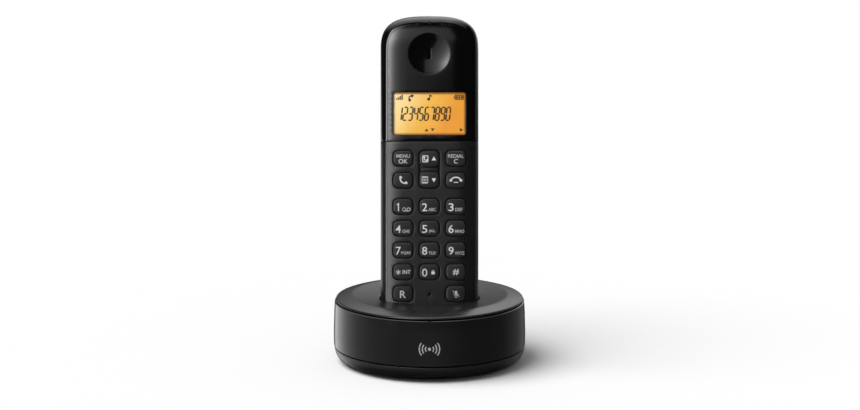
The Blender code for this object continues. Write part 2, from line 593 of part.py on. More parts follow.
def base_side_band():
    outer = [(RIM_RADIUS - 0.5 * MM, BAND_TOP_Z), (45.3 * MM, 29.8 * MM), (45.8 * MM, 28.3 * MM), (46.1 * MM, 24 * MM),
             (BASE_RADIUS, 14 * MM), (BASE_RADIUS - 0.1 * MM, SEAM_Z + GAP)]
    inner = [(44.2 * MM, SEAM_Z + GAP), (44.2 * MM, 28.0 * MM), (42.9 * MM, 28.6 * MM), (42.9 * MM, BAND_TOP_Z)]
    band = turned("base_side_band", [*outer, *inner, outer[0]], GLOSS, ROUND_STEPS)
    windows = []
    for x, size in ((SOCKET_X, LINE_SOCKET_SIZE), (-SOCKET_X, POWER_SOCKET_SIZE)):
        windows.append(block_mesh((x - size[0] / 2 - GAP, 30 * MM, SOCKET_FLOOR_Z - GAP),
                                  (x + size[0] / 2 + GAP, 60 * MM, SOCKET_FLOOR_Z + size[2] + GAP)))
    button_hole = cylinder_mesh(PAGE_RADIUS + GAP, 38 * MM, 60 * MM, segments=20)
    bmesh.ops.rotate(button_hole, cent=(0, 0, 0), matrix=Matrix.Rotation(-math.pi / 2, 3, "X"),
                     verts=button_hole.verts)
    bmesh.ops.translate(button_hole, vec=(0, 0, PAGE_Z), verts=button_hole.verts)
    boolean(band, add("band_windows", merge_meshes([*windows, button_hole]), cutter=True), "DIFFERENCE")


def base_bottom_tray():
    outer = [(46.1 * MM, SEAM_Z), (45.9 * MM, 6.3 * MM), (45.2 * MM, 4.3 * MM), (43.8 * MM, 2.4 * MM),
             (41.6 * MM, 1.1 * MM), (39.5 * MM, FLOOR_Z), (0.0, FLOOR_Z)]
    inner = [(0.0, FLOOR_Z + 1.8 * MM), (39.0 * MM, FLOOR_Z + 1.8 * MM), (42.4 * MM, 4.2 * MM), (44.0 * MM, 6.4 * MM),
             (44.0 * MM, SEAM_Z)]
    tray = turned("base_bottom_tray", [*outer[::1], *inner, outer[0]], BASE_SATIN, ROUND_STEPS)
    for i, place in enumerate(BASE_SCREWS):
        post = add(f"screw_post_{i}", cylinder_mesh(3.4 * MM, 1.6 * MM, 7.3 * MM, place, 16), cutter=True)
        boolean(tray, post, "UNION")
    holes = [cylinder_mesh(4.8 * MM, -2 * MM, 1.4 * MM, place, 16) for place in FEET]
    holes += [cylinder_mesh(2.8 * MM, -2 * MM, 3.2 * MM, place, 12) for place in BASE_SCREWS]
    holes += [cylinder_mesh(1.5 * MM, 2 * MM, 10 * MM, place, 12) for place in BASE_SCREWS]
    for i, hole in enumerate(holes):
        boolean(tray, add(f"tray_hole_{i}", hole, cutter=True), "DIFFERENCE")


def base_insides():
    board = block_mesh((-21 * MM, 17.5 * MM, BASE_BOARD_Z[0]), (21 * MM, 37.5 * MM, BASE_BOARD_Z[1]))
    board = add("base_circuit_board", board, BOARD)
    x, y = BASE_SCREWS[2]
    boolean(board, add("board_hole", cylinder_mesh(4.2 * MM, 5 * MM, 12 * MM, (x, y), 20), cutter=True), "DIFFERENCE")

    width, depth, height = LINE_SOCKET_SIZE
    low, high = SOCKET_FLOOR_Z, SOCKET_FLOOR_Z + height
    line = add("line_socket", block_mesh((SOCKET_X - width / 2, SOCKET_FACE_Y - depth, low),
                                         (SOCKET_X + width / 2, SOCKET_FACE_Y, high)), SOCKET)
    cavity = [block_mesh((SOCKET_X - 4.85 * MM, SOCKET_FACE_Y - 11.5 * MM, low + 2.9 * MM),
                         (SOCKET_X + 4.85 * MM, 60 * MM, high - 2.3 * MM)),
              block_mesh((SOCKET_X - 3.1 * MM, SOCKET_FACE_Y - 9.0 * MM, low + 1.3 * MM),
                         (SOCKET_X + 3.1 * MM, 60 * MM, low + 5.0 * MM))]
    for i, part in enumerate(cavity):
        boolean(line, add(f"line_cavity_{i}", part, cutter=True), "DIFFERENCE")

    width, depth, height = POWER_SOCKET_SIZE
    power_z = low + height / 2
    power = turned_socket(width, depth, height, low, power_z)
    power.name = "power_socket"

    turned("page_button",
           [(0.0, 47.0 * MM), (2.4 * MM, 46.9 * MM), (PAGE_RADIUS, 46.4 * MM), (PAGE_RADIUS, 43.6 * MM),
            (3.8 * MM, 43.6 * MM), (3.8 * MM, 42.9 * MM), (1.6 * MM, 42.9 * MM), (1.6 * MM, 41.4 * MM),
            (0.0, 41.4 * MM)], GLOSS, 20, location=(0, 0, PAGE_Z), rotation=(-math.pi / 2, 0, 0))
    switch = add("page_switch", block_mesh((-3 * MM, 33.5 * MM, SOCKET_FLOOR_Z), (3 * MM, 38.6 * MM, 19.2 * MM)), SOCKET)
    plunger = add("switch_plunger", cylinder_mesh(1.4 * MM, 38 * MM, 40.2 * MM, segments=16),
                  location=(0, 0, PAGE_Z), rotation=(-math.pi / 2, 0, 0), cutter=True)
    boolean(switch, plunger, "UNION")

    contact_path = [(-7.0 * MM, -3.4 * MM), (-0.3 * MM, -3.4 * MM), (-0.3 * MM, 1.6 * MM), (-0.75 * MM, 2.1 * MM),
                    (-1.3 * MM, 2.2 * MM), (-1.8 * MM, 1.7 * MM), (-2.1 * MM, 0.4 * MM)]
    for name, side in (("left", -1), ("right", 1)):
        add(f"cradle_contact_{name}", ribbon_mesh(contact_path, 0.4 * MM, 3.0 * MM), METAL, handset,
            (side * CONTACT_X, 0, 0))

    aerial = bpy.data.curves.new("base_aerial", "CURVE")
    aerial.dimensions = "3D"
    aerial.bevel_depth = 0.5 * MM
    aerial.bevel_resolution = 1
    aerial.use_fill_caps = True
    spline = aerial.splines.new("POLY")
    path = [(-18, 19.5, 9.8), (-18, 19.5, 21.4), (-17.6, 19.5, 22.0), (16, 19.5, 22.0), (16.4, 19.5, 21.6),
            (16.4, 19.5, 17.5)]
    spline.points.add(len(path) - 1)
    for point, (x, y, z) in zip(spline.points, path):
        point.co = (x * MM, y * MM, z * MM, 1.0)
    aerial_object = bpy.data.objects.new("base_aerial", aerial)
    aerial.materials.append(METAL)
    PARTS.objects.link(aerial_object)

    for i, place in enumerate(BASE_SCREWS):
        turned(f"base_screw_{i + 1}",
               [(0.0, 6.0 * MM), (1.15 * MM, 6.0 * MM), (1.15 * MM, -2.8 * MM), (2.4 * MM, -2.8 * MM),
                (2.4 * MM, -3.7 * MM), (1.6 * MM, -4.1 * MM), (0.0, -4.1 * MM)], STEEL, 12,
               location=(*place, 5.7 * MM))
    for i, place in enumerate(FEET):
        add(f"foot_{i + 1}", cylinder_mesh(4.4 * MM, 0.0, 1.1 * MM, place, 16), RUBBER)


def turned_socket(width, depth, height, low, centre_z):
    """A barrel power socket: a block with a round hole facing +Y and a thin pin standing in it."""
    socket = add("power_socket", block_mesh((-SOCKET_X - width / 2, SOCKET_FACE_Y - depth, low),
                                            (-SOCKET_X + width / 2, SOCKET_FACE_Y, low + height)), SOCKET)
    hole = [(0.0, SOCKET_FACE_Y + 5 * MM), (2.9 * MM, SOCKET_FACE_Y + 5 * MM), (2.9 * MM, SOCKET_FACE_Y - 9.5 * MM),
            (0.8 * MM, SOCKET_FACE_Y - 9.5 * MM), (0.8 * MM, SOCKET_FACE_Y - MM), (0.0, SOCKET_FACE_Y - 0.6 * MM)]
    boolean(socket, turned("power_hole", hole, steps=20, location=(-SOCKET_X, 0, centre_z),
                           rotation=(-math.pi / 2, 0, 0), cutter=True), "DIFFERENCE")
    return socket


handset_front()
keypad()
handset_rear()
battery_cells()
handset_insides()
base_top_cover()
base_side_band()
base_bottom_tray()
base_insides()
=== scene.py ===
"""The looks of a cordless telephone handset standing in its round charging base.

Every curved cover is one closed shell made by panel(): a flat pattern is triangulated around its openings,
laid on a surface, given a thickness, and its edges are rolled over. The handset's pieces are made in the
handset's own frame (X across, -Y towards the user, Z along it from its lower end) and placed by one matrix.
"""

import json
import math

import bmesh
import bpy
import numpy as np
from mathutils import Matrix, Vector
from mathutils.geometry import delaunay_2d_cdt


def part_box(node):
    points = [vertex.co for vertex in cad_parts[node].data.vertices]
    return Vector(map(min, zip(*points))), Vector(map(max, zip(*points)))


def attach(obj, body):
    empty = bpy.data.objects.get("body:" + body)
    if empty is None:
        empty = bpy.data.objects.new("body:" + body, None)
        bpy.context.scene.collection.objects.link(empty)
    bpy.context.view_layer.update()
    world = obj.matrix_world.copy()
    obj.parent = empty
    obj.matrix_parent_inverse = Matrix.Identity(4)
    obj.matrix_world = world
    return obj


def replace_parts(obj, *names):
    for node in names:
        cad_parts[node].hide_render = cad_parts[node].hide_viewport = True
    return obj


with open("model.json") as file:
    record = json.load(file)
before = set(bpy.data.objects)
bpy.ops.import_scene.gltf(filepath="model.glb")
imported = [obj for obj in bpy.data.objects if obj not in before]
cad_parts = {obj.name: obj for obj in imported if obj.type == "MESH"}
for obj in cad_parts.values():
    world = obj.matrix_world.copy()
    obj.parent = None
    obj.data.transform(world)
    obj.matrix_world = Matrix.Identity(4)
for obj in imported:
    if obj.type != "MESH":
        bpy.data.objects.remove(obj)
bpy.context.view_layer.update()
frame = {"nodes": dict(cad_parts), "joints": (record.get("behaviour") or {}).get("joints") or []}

MM = 0.001
SCENE = bpy.context.scene

# ================================================================ the handset's frame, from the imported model
JOINTS = {joint["name"]: joint for joint in frame["joints"]}
LIFT = Vector(JOINTS["handset_lift"]["axis"])
LEAN = math.atan2(LIFT.y, LIFT.z)
TURN = Matrix.Rotation(-LEAN, 3, "X")

KEY_TOP_Y = -12.3 * MM  # in the handset's frame


def node_points(node):
    return np.array([v.co for v in frame["nodes"][node].data.vertices])


def find_seat():
    """The handset frame's origin: its lowest point along the lean, at the depth that the key tops give."""
    turned_points = node_points("handset_rear_shell") @ np.array(TURN)
    keys = node_points("key_5") @ np.array(TURN)
    return TURN @ Vector((0.0, keys[:, 1].min() - KEY_TOP_Y, turned_points[:, 2].min()))


SEAT = find_seat()
HANDSET = Matrix.Translation(SEAT) @ TURN.to_4x4()


def local_box(node):
    """Lowest and highest corner of a CAD node in the handset's frame."""
    points = node_points(node) - np.array(SEAT)
    points = points @ np.array(TURN)
    return points.min(0), points.max(0)


def local_centre(node):
    low, high = local_box(node)
    return (low + high) / 2


def centre_of(node):
    """The middle of a CAD node's box in the world's frame."""
    return [(low + high) / 2 for low, high in zip(*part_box(node))]


def in_metres(points):
    return [tuple(value * MM for value in point) for point in points]


def on_handset(place):
    """A matrix that moves a piece to a place in the handset's frame."""
    return HANDSET @ Matrix.Translation(Vector(place))


# ================================================================ shape constants, as in the CAD
HALF_WIDTH = 23.5 * MM
LENGTH = 158.7 * MM
TOP_RISE, TOP_POWER = 17.0 * MM, 3.0
TAIL_RISE, TAIL_POWER = 8.0 * MM, 3.5
LEAST_RISE = 0.8 * MM  # rings deep inside keep this much roundness at their ends
FRONT_EDGE_Y, REAR_EDGE_Y = -4.55 * MM, -4.3 * MM
FACE_Y, BACK_Y = -11.5 * MM, 12.5 * MM
FOLD_INSET = 3.35 * MM
SPLIT_Z = 98.3 * MM
WALL = 1.5 * MM
EAR_Z, EAR_RADIUS, EAR_DEPTH = 140.3 * MM, 9.95 * MM, 1.25 * MM
CROWN_DEPTH, CROWN_WIDTH, CROWN_POWER = 1.15 * MM, 8.5 * MM, 2.2
FACE_BOW = 0.12 * MM  # how much the face falls away towards its sides, besides the crown
KEY_WIDTH, KEY_HEIGHT, KEY_CORNER, KEY_GAP = 9.3 * MM, 7.15 * MM, 2.2 * MM, 0.45 * MM
KEY_FLANGE = 0.7 * MM  # how far a key reaches behind the cover, all round
DOOR_HALF, DOOR_LOW, DOOR_HIGH, DOOR_GAP = 17.5 * MM, 30.5 * MM, 87.0 * MM, 0.32 * MM
DOOR_MIDDLE = (0.0, (DOOR_LOW + DOOR_HIGH) / 2)
TRAY_WIDTH, TRAY_LENGTH, TRAY_MIDDLE = 25.6 * MM, 51.6 * MM, (0.0, 58.8 * MM)  # for the two cells
CREST_RADIUS, CREST_Z, DISH_Z = 37.2 * MM, 32.7 * MM, 30.1 * MM
SEAM_Z = 7.7 * MM
POCKET_CLEARANCE = 0.6 * MM


# ================================================================ flat outlines
def subdivided(points, spacing, closed=True):
    """The same polyline with every stretch cut into equal parts no longer than spacing."""
    made = []
    ends = points[1:] + points[:1] if closed else points[1:]
    for a, b in zip(points, ends):
        parts = max(1, math.ceil(math.dist(a, b) / spacing))
        made += [(a[0] + (b[0] - a[0]) * i / parts, a[1] + (b[1] - a[1]) * i / parts) for i in range(parts)]
    if not closed:
        made.append(points[-1])
    return made


def rounded_rect(width, height, corner, centre=(0.0, 0.0), spacing=0.8 * MM, arc_steps=6):
    """An anticlockwise loop."""
    made = []
    for quadrant, (sx, sz) in enumerate(((1, 1), (-1, 1), (-1, -1), (1, -1))):
        cx, cz = centre[0] + sx * (width / 2 - corner), centre[1] + sz * (height / 2 - corner)
        for step in range(arc_steps + 1):
            angle = (quadrant + step / arc_steps) * math.pi / 2
            made.append((cx + corner * math.cos(angle), cz + corner * math.sin(angle)))
    return subdivided(made, spacing)


def circle(radius, centre=(0.0, 0.0), steps=48):
    angles = [2 * math.pi * i / steps for i in range(steps)]
    return [(centre[0] + radius * math.cos(a), centre[1] + radius * math.sin(a)) for a in angles]


def superellipse(half_x, rise, power, steps, start, sweep=math.pi):
    made = []
    for i in range(steps + 1):
        angle = start + sweep * i / steps
        c, s = math.cos(angle), math.sin(angle)
        x, z = math.copysign(abs(c) ** (2 / power), c), math.copysign(abs(s) ** (2 / power), s)
        made.append((half_x * x, rise * z))
    return made


def offset(points, distance, closed=True):
    """The polyline moved to its left by distance, with mitred corners."""
    p = np.array(points, float)
    ahead = np.roll(p, -1, 0) - p
    behind = p - np.roll(p, 1, 0)
    if not closed:
        ahead[-1], behind[0] = behind[-1], ahead[0]
    ahead /= np.linalg.norm(ahead, axis=1, keepdims=True)
    behind /= np.linalg.norm(behind, axis=1, keepdims=True)
    left_a, left_b = (np.stack([-v[:, 1], v[:, 0]], 1) for v in (ahead, behind))
    mitre = (left_a + left_b) / (1 + (left_a * left_b).sum(1, keepdims=True))
    return p + distance * mitre


def inside(points, polygon):
    """Which points lie in the polygon."""
    x, y = points[:, 0], points[:, 1]
    found = np.zeros(len(points), bool)
    for (x1, y1), (x2, y2) in zip(polygon, np.roll(polygon, -1, 0)):
        crosses = (y1 > y) != (y2 > y)
        if y1 != y2:
            found ^= crosses & (x < (x2 - x1) * (y - y1) / (y2 - y1) + x1)
    return found


def grid(low, high, spacing):
    """Points on a triangular lattice over a rectangle, symmetric about its middle."""
    made = []
    rows = max(1, math.ceil((high[1] - low[1]) / (spacing * 0.87)))
    columns = max(1, math.ceil((high[0] - low[0]) / spacing))
    for r in range(rows + 1):
        z = low[1] + (high[1] - low[1]) * r / rows
        shift = 0.5 * (r % 2)
        for c in range(columns + 1 - (r % 2)):
            made.append((low[0] + (high[0] - low[0]) * (c + shift) / columns, z))
    return made


# ================================================================ surfaces that a flat pattern is laid on
class Surface:
    """place() maps flat points to space; normals point out of the object."""

    side = 1.0
    step = 0.02 * MM

    def normals(self, flat):
        h = self.step
        across = self.place(flat + [h, 0]) - self.place(flat - [h, 0])
        along = self.place(flat + [0, h]) - self.place(flat - [0, h])
        n = np.cross(across, along) * self.side
        return n / np.maximum(np.linalg.norm(n, axis=1, keepdims=True), 1e-12)


def along_curve(points):
    """Distance run along a polyline at each of its points."""
    return np.concatenate([[0.0], np.cumsum(np.linalg.norm(np.diff(points, axis=0), axis=1))])


class Skin(Surface):
    """Half of the handset's outside. The pattern is the handset seen from the front, with its shoulders
    rolled out flat, so that their full width can carry openings and edges."""

    def __init__(self, profile, unrolled, side, top_stretch=1.0, fold=0.0, scale=None, relief=None):
        profile = np.array(profile, float)
        start = profile[0] - (profile[1] - profile[0]) / np.linalg.norm(profile[1] - profile[0]) * MM
        run = along_curve(profile)
        rolled = np.interp(unrolled, profile[:, 0], run)
        flat_from = np.searchsorted(run, rolled)
        run = np.where(np.arange(len(run)) < flat_from, run, rolled + profile[:, 0] - unrolled)
        self.run = np.concatenate([[-MM], run])
        self.inset = np.concatenate([[start[0]], profile[:, 0]])
        self.depth = np.concatenate([[start[1]], profile[:, 1]])
        self.extra = rolled - unrolled
        self.side = side
        self.fold, self.stretch = fold, top_stretch
        self.half = HALF_WIDTH + self.extra
        self.top = TOP_RISE + self.extra - (top_stretch - 1) * fold
        self.tail = TAIL_RISE + self.extra
        self.scale, self.relief = scale, relief

    @staticmethod
    def ends(top, tail):
        """Centres and rises of the two rounded ends, for a ring whose ends have these rises."""
        return (LENGTH - TOP_RISE - np.maximum(0, LEAST_RISE - top), np.maximum(top, LEAST_RISE),
                TAIL_RISE + np.maximum(0, LEAST_RISE - tail), np.maximum(tail, LEAST_RISE))

    def beyond(self, run, x, z):
        """Above zero where a pattern point lies outside the ring at that run."""
        top_z, top, tail_z, tail = self.ends(self.top - run, self.tail - run)
        up = np.maximum(0, z - top_z) / top
        down = np.maximum(0, tail_z - z) / tail
        power = np.where(z > LENGTH / 2, TOP_POWER, TAIL_POWER)
        return (x / np.maximum(self.half - run, 1e-9)) ** power + np.maximum(up, down) ** power - 1

    def ring_of(self, flat):
        x, z = np.abs(flat[:, 0]), flat[:, 1]
        low, high = np.full(len(x), -MM), self.half - x
        for _ in range(36):
            middle = (low + high) / 2
            out = self.beyond(middle, x, z) > 0
            high, low = np.where(out, middle, high), np.where(out, low, middle)
        return low

    def place(self, flat):
        flat = np.asarray(flat, float)
        run = self.ring_of(flat)
        inset = np.interp(run, self.run, self.inset)
        inset = np.where(run > self.run[-1], self.inset[-1] + run - self.run[-1], inset)
        y = np.interp(run, self.run, self.depth)
        x = flat[:, 0] * (HALF_WIDTH - inset) / np.maximum(self.half - run, 1e-9)
        top_z, top, tail_z, tail = self.ends(self.top - run, self.tail - run)
        stretched = inset + (self.stretch - 1) * np.clip(inset, 0, self.fold)
        real_top_z, real_top, real_tail_z, real_tail = self.ends(TOP_RISE - stretched, TAIL_RISE - inset)
        z = flat[:, 1]
        z = np.where(z > top_z, real_top_z + (z - top_z) * real_top / top, z)
        z = np.where(flat[:, 1] < tail_z, real_tail_z + (flat[:, 1] - tail_z) * real_tail / tail, z)
        if self.scale:
            y = REAR_EDGE_Y + (y - REAR_EDGE_Y) * self.scale(z)
        if self.relief:
            y = y + self.relief(x, z)
        return np.stack([x, y, z], 1)

    def outline(self, run, end_steps=40, station=2.0 * MM):
        """The ring at that run as an anticlockwise loop of pattern points, from the right of the top."""
        top_z, top, tail_z, tail = (float(v) for v in self.ends(self.top - run, self.tail - run))
        above = [(x, top_z + z) for x, z in superellipse(self.half - run, top, TOP_POWER, end_steps, 0.0)]
        edge = self.half - run
        below = [(x, tail_z + z) for x, z in superellipse(edge, tail, TAIL_POWER, end_steps, math.pi)]
        count = round((LENGTH - TOP_RISE - TAIL_RISE) / station)
        stations = [tail_z + (top_z - tail_z) * i / count for i in range(1, count)]
        return above + [(-edge, z) for z in stations[::-1]] + below + [(edge, z) for z in stations]


class Lathe(Surface):
    """A turned surface. The pattern is a disc whose radius is the distance along the profile."""

    def __init__(self, profile, side):
        self.profile = np.array(profile, float)
        self.run = along_curve(self.profile)
        self.side = side

    def place(self, flat):
        flat = np.asarray(flat, float)
        run = np.maximum(np.linalg.norm(flat, axis=1), 1e-9)
        beyond = np.maximum(0, run - self.run[-1])
        last = self.profile[-1] - self.profile[-2]
        last = last / np.linalg.norm(last)
        radius = np.interp(run, self.run, self.profile[:, 0]) + beyond * last[0]
        z = np.interp(run, self.run, self.profile[:, 1]) + beyond * last[1]
        return np.stack([flat[:, 0] / run * radius, flat[:, 1] / run * radius, z], 1)

    def flat_at(self, x, y):
        """The pattern point under a place on the inner part, where the profile's radius still grows."""
        radius = math.hypot(x, y)
        run = float(np.interp(radius, self.profile[:, 0], self.run))
        return (x * run / radius, y * run / radius) if radius else (0.0, 0.0)

    def height(self, radius):
        return float(np.interp(radius, self.profile[:, 0], self.profile[:, 1]))


class Band(Surface):
    """The wall around the base. The pattern runs round from the rear, and up the profile."""

    side = -1.0

    def __init__(self, profile, radius):
        self.profile = np.array(profile, float)
        self.run = along_curve(self.profile)
        self.radius = radius

    def place(self, flat):
        flat = np.asarray(flat, float)
        beyond = np.clip(flat[:, 1], None, 0) + np.maximum(0, flat[:, 1] - self.run[-1])
        radius = np.interp(flat[:, 1], self.run, self.profile[:, 0])
        z = np.interp(flat[:, 1], self.run, self.profile[:, 1]) + beyond
        angle = flat[:, 0] / self.radius
        return np.stack([radius * np.sin(angle), radius * np.cos(angle), z], 1)

    def flat_at(self, x, z, front=False):
        run = float(np.interp(z, self.profile[:, 1], self.run))
        radius = float(np.interp(run, self.run, self.profile[:, 0]))
        angle = math.asin(x / radius)
        return ((math.pi - angle) * self.radius if front else angle * self.radius, run)


# ================================================================ shells
class Edge:
    """A boundary of a panel: its line in the pattern, and what happens there after the rolled-over lip.

    rim is a list of (distance from the line into the material, depth below the surface). rows, instead, is
    a function that gives whole rows of points in space. under is how far from the line the underside
    starts."""

    def __init__(self, points, closed=True, side=1.0, rim=None, rows=None, under=None):
        self.points, self.closed, self.side, self.rim, self.rows = points, closed, side, rim, rows
        self.under = under


def hole(points, rim=None, rows=None, under=None):
    return Edge(points, side=-1.0, rim=rim, rows=rows, under=under)


def new_object(name, bm, material, smooth_angle=40.0):
    mesh = bpy.data.meshes.new(name)
    bm.to_mesh(mesh)
    bm.free()
    mesh.shade_smooth()
    mesh.set_sharp_from_angle(angle=math.radians(smooth_angle))
    obj = bpy.data.objects.new(name, mesh)
    SCENE.collection.objects.link(obj)
    mesh.materials.append(material)
    return obj


LIP_STEPS = 4


class Pattern:
    """A panel's flat pattern: its points, the triangles between its edges, and the edges' own points.

    A seam's spacing closes two open edges into one loop."""

    def __init__(self, edges, guides, lip, clear, seam):
        self.fixed, self.lines = [], []
        self.loops = [self.add_line(edge, lip) for edge in edges]
        self.under_loops = [self.add_line(edge, edge.under) if edge.under else None for edge in edges]
        self.outer = self.polygon_of(self.joined(seam) if seam else self.loops[0])
        self.holes = [self.polygon_of(loop) for edge, loop in zip(edges, self.loops) if edge.side < 0]
        self.triangulate(self.chosen(np.array(guides), clear))

    def add_line(self, edge, distance):
        line = offset(edge.points, edge.side * distance, edge.closed)
        first, count = len(self.fixed), len(line)
        self.fixed += [tuple(p) for p in line]
        stretches = count if edge.closed else count - 1
        self.lines += [(first + i, first + (i + 1) % count) for i in range(stretches)]
        return list(range(first, first + count))

    def joined(self, spacing):
        one, other = self.loops[:2]
        for a, b in ((one[-1], other[0]), (other[-1], one[0])):
            between = subdivided([self.fixed[a], self.fixed[b]], spacing, closed=False)[1:-1]
            chain = [a, *range(len(self.fixed), len(self.fixed) + len(between)), b]
            self.fixed += between
            self.lines += list(zip(chain, chain[1:]))
        return one + other

    def polygon_of(self, loop):
        return np.array([self.fixed[i] for i in loop])

    def covered(self, points):
        """Which points lie inside the outer edge and in no hole."""
        found = inside(points, self.outer)
        for polygon in self.holes:
            found &= ~inside(points, polygon)
        return found

    def chosen(self, guides, clear):
        """The guide points on the panel that keep clear of its edges."""
        guides = guides[self.covered(guides)]
        fixed = np.array(self.fixed)
        nearest = np.array([np.min(np.sum((fixed - p) ** 2, axis=1)) for p in guides])
        return guides[nearest > clear**2]

    def triangulate(self, guides):
        everything = np.concatenate([np.array(self.fixed), guides])
        done = delaunay_2d_cdt([Vector(p / MM) for p in everything], self.lines, [], 0, 1e-4, True)
        self.flat = np.array([tuple(p) for p in done[0]]) * MM
        self.index = {}
        for made, origins in enumerate(done[3]):
            for origin in origins:
                self.index.setdefault(origin, made)
        triangles = [face for face in done[2] if len(face) == 3]
        middles = self.flat[np.array(triangles)].mean(1)
        two_sided = np.ones(len(triangles), bool)
        for loop in self.under_loops:
            if loop:
                two_sided &= ~inside(middles, self.polygon_of(loop))
        covered = self.covered(middles)
        self.triangles = [(*face, both) for face, kept, both in zip(triangles, covered, two_sided) if kept]


def edge_strips(surface, edge, lip, thickness):
    """Rows of points in space, over a panel's rolled-over lip and down its rim."""
    rows = []
    for step in range(1, LIP_STEPS + 1):
        angle = math.pi / 2 * step / LIP_STEPS
        rows.append((lip * (1 - math.sin(angle)), lip * (1 - math.cos(angle))))
    if edge.rows:
        return edge.rows(rows)
    rows += edge.rim if edge.rim is not None else [(0.0, thickness)]
    strips = []
    for distance, depth in rows:
        line = offset(edge.points, edge.side * distance, edge.closed)
        strips.append(surface.place(line) - surface.normals(line) * depth)
    return strips


def panel(name, surface, edges, guides, material, thickness=WALL, lip=0.18 * MM, clear=0.3 * MM, seam=None):
    """A closed shell over a surface, bounded by the first edge (or by two open ones and a seam)."""
    pattern = Pattern(edges, guides, lip, clear, seam)
    places, normals = surface.place(pattern.flat), surface.normals(pattern.flat)
    bm = bmesh.new()
    top = [bm.verts.new(p) for p in places]
    bottom = [bm.verts.new(p) for p in places - normals * thickness]
    for a, b, c, two_sided in pattern.triangles:
        bm.faces.new((top[a], top[b], top[c]))
        if two_sided:
            bm.faces.new((bottom[c], bottom[b], bottom[a]))
    for edge, loop, under_loop in zip(edges, pattern.loops, pattern.under_loops):
        rows = [[top[pattern.index[i]] for i in loop]]
        rows += [[bm.verts.new(p) for p in strip] for strip in edge_strips(surface, edge, lip, thickness)]
        rows.append([bottom[pattern.index[i]] for i in under_loop or loop])
        for before, row in zip(rows, rows[1:]):
            for i in range(len(loop) if edge.closed else len(loop) - 1):
                j = (i + 1) % len(loop)
                bm.faces.new((before[i], before[j], row[j], row[i]))
    if seam:
        bmesh.ops.remove_doubles(bm, verts=bm.verts, dist=0.001 * MM)
    loose = [v for v in bm.verts if not v.link_faces]
    bmesh.ops.delete(bm, geom=loose, context="VERTS")
    bmesh.ops.recalc_face_normals(bm, faces=bm.faces)
    return new_object(name, bm, material)


def stack(name, loops, material, smooth_angle=40.0, ring=False):
    """A closed solid through loops with equal numbers of points; one-point ends come to a point.

    A ring has no ends: its last loop joins its first."""
    bm = bmesh.new()
    rows = [[bm.verts.new(p) for p in loop] for loop in loops]
    for a, b in zip(rows, rows[1:] + rows[:1] if ring else rows[1:]):
        count = max(len(a), len(b))
        for i in range(count):
            j = (i + 1) % count
            corners = [a[i % len(a)], a[j % len(a)], b[j % len(b)], b[i % len(b)]]
            bm.faces.new(list(dict.fromkeys(corners)))
    for row in (rows[0], rows[-1]):
        if len(row) > 2 and not ring:
            bm.faces.new(row)
    bmesh.ops.recalc_face_normals(bm, faces=bm.faces)
    return new_object(name, bm, material, smooth_angle)


def turned(name, profile, material, matrix=None, steps=32, smooth_angle=35.0):
    """A turned solid from (radius, height) points in mm, or a ring where the profile stays off the axis."""
    loops = []
    for radius, z in in_metres(profile):
        loops.append([(x, y, z) for x, y in circle(radius, steps=steps)] if radius else [(0, 0, z)])
    obj = stack(name, loops, material, smooth_angle, ring=profile[0][0] > 0)
    if matrix:
        obj.matrix_world = matrix
    return obj


def tube(name, points, radius, material, resolution=6, matrix=None):
    """A round wire through the points, as a closed mesh."""
    curve = bpy.data.curves.new(name, "CURVE")
    curve.dimensions = "3D"
    curve.bevel_depth = radius
    curve.bevel_resolution = resolution // 2
    curve.use_fill_caps = True
    spline = curve.splines.new("POLY")
    spline.points.add(len(points) - 1)
    for point, place in zip(spline.points, points):
        point.co = (*place, 1.0)
    source = bpy.data.objects.new(name + "_path", curve)
    SCENE.collection.objects.link(source)
    evaluated = source.evaluated_get(bpy.context.evaluated_depsgraph_get())
    bm = bmesh.new()
    bm.from_mesh(bpy.data.meshes.new_from_object(evaluated))
    bpy.data.objects.remove(source)
    bmesh.ops.remove_doubles(bm, verts=bm.verts, dist=0.001 * MM)
    obj = new_object(name, bm, material)
    if matrix:
        obj.matrix_world = matrix
    return obj


def softened(name, node, material, bevel=0.25 * MM, smooth_angle=40.0):
    """A CAD node's own shape with its edges rounded."""
    bm = bmesh.new()
    bm.from_mesh(frame["nodes"][node].data)
    bmesh.ops.remove_doubles(bm, verts=bm.verts, dist=0.002 * MM)
    bmesh.ops.dissolve_limit(bm, angle_limit=math.radians(1.0), verts=bm.verts, edges=bm.edges)
    obj = new_object(name, bm, material, smooth_angle)
    modifier = obj.modifiers.new("rounded_edges", "BEVEL")
    modifier.width = bevel
    modifier.segments = 3
    modifier.limit_method = "ANGLE"
    modifier.angle_limit = math.radians(40.0)
    return obj


def settle(obj, body, slot, *nodes):
    """Hangs a piece on its body and hides the CAD nodes that it stands for; slot is not used."""
    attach(obj, body)
    if nodes:
        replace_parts(obj, *nodes)
    return obj


def in_handset(obj):
    obj.matrix_world = HANDSET
    return obj


# ================================================================ materials
def calculate(tree, operation, *values):
    node = tree.nodes.new("ShaderNodeMath")
    node.operation = operation
    for socket, value in zip(node.inputs, values):
        if isinstance(value, bpy.types.NodeSocket):
            tree.links.new(value, socket)
        else:
            socket.default_value = value
    return node.outputs[0]


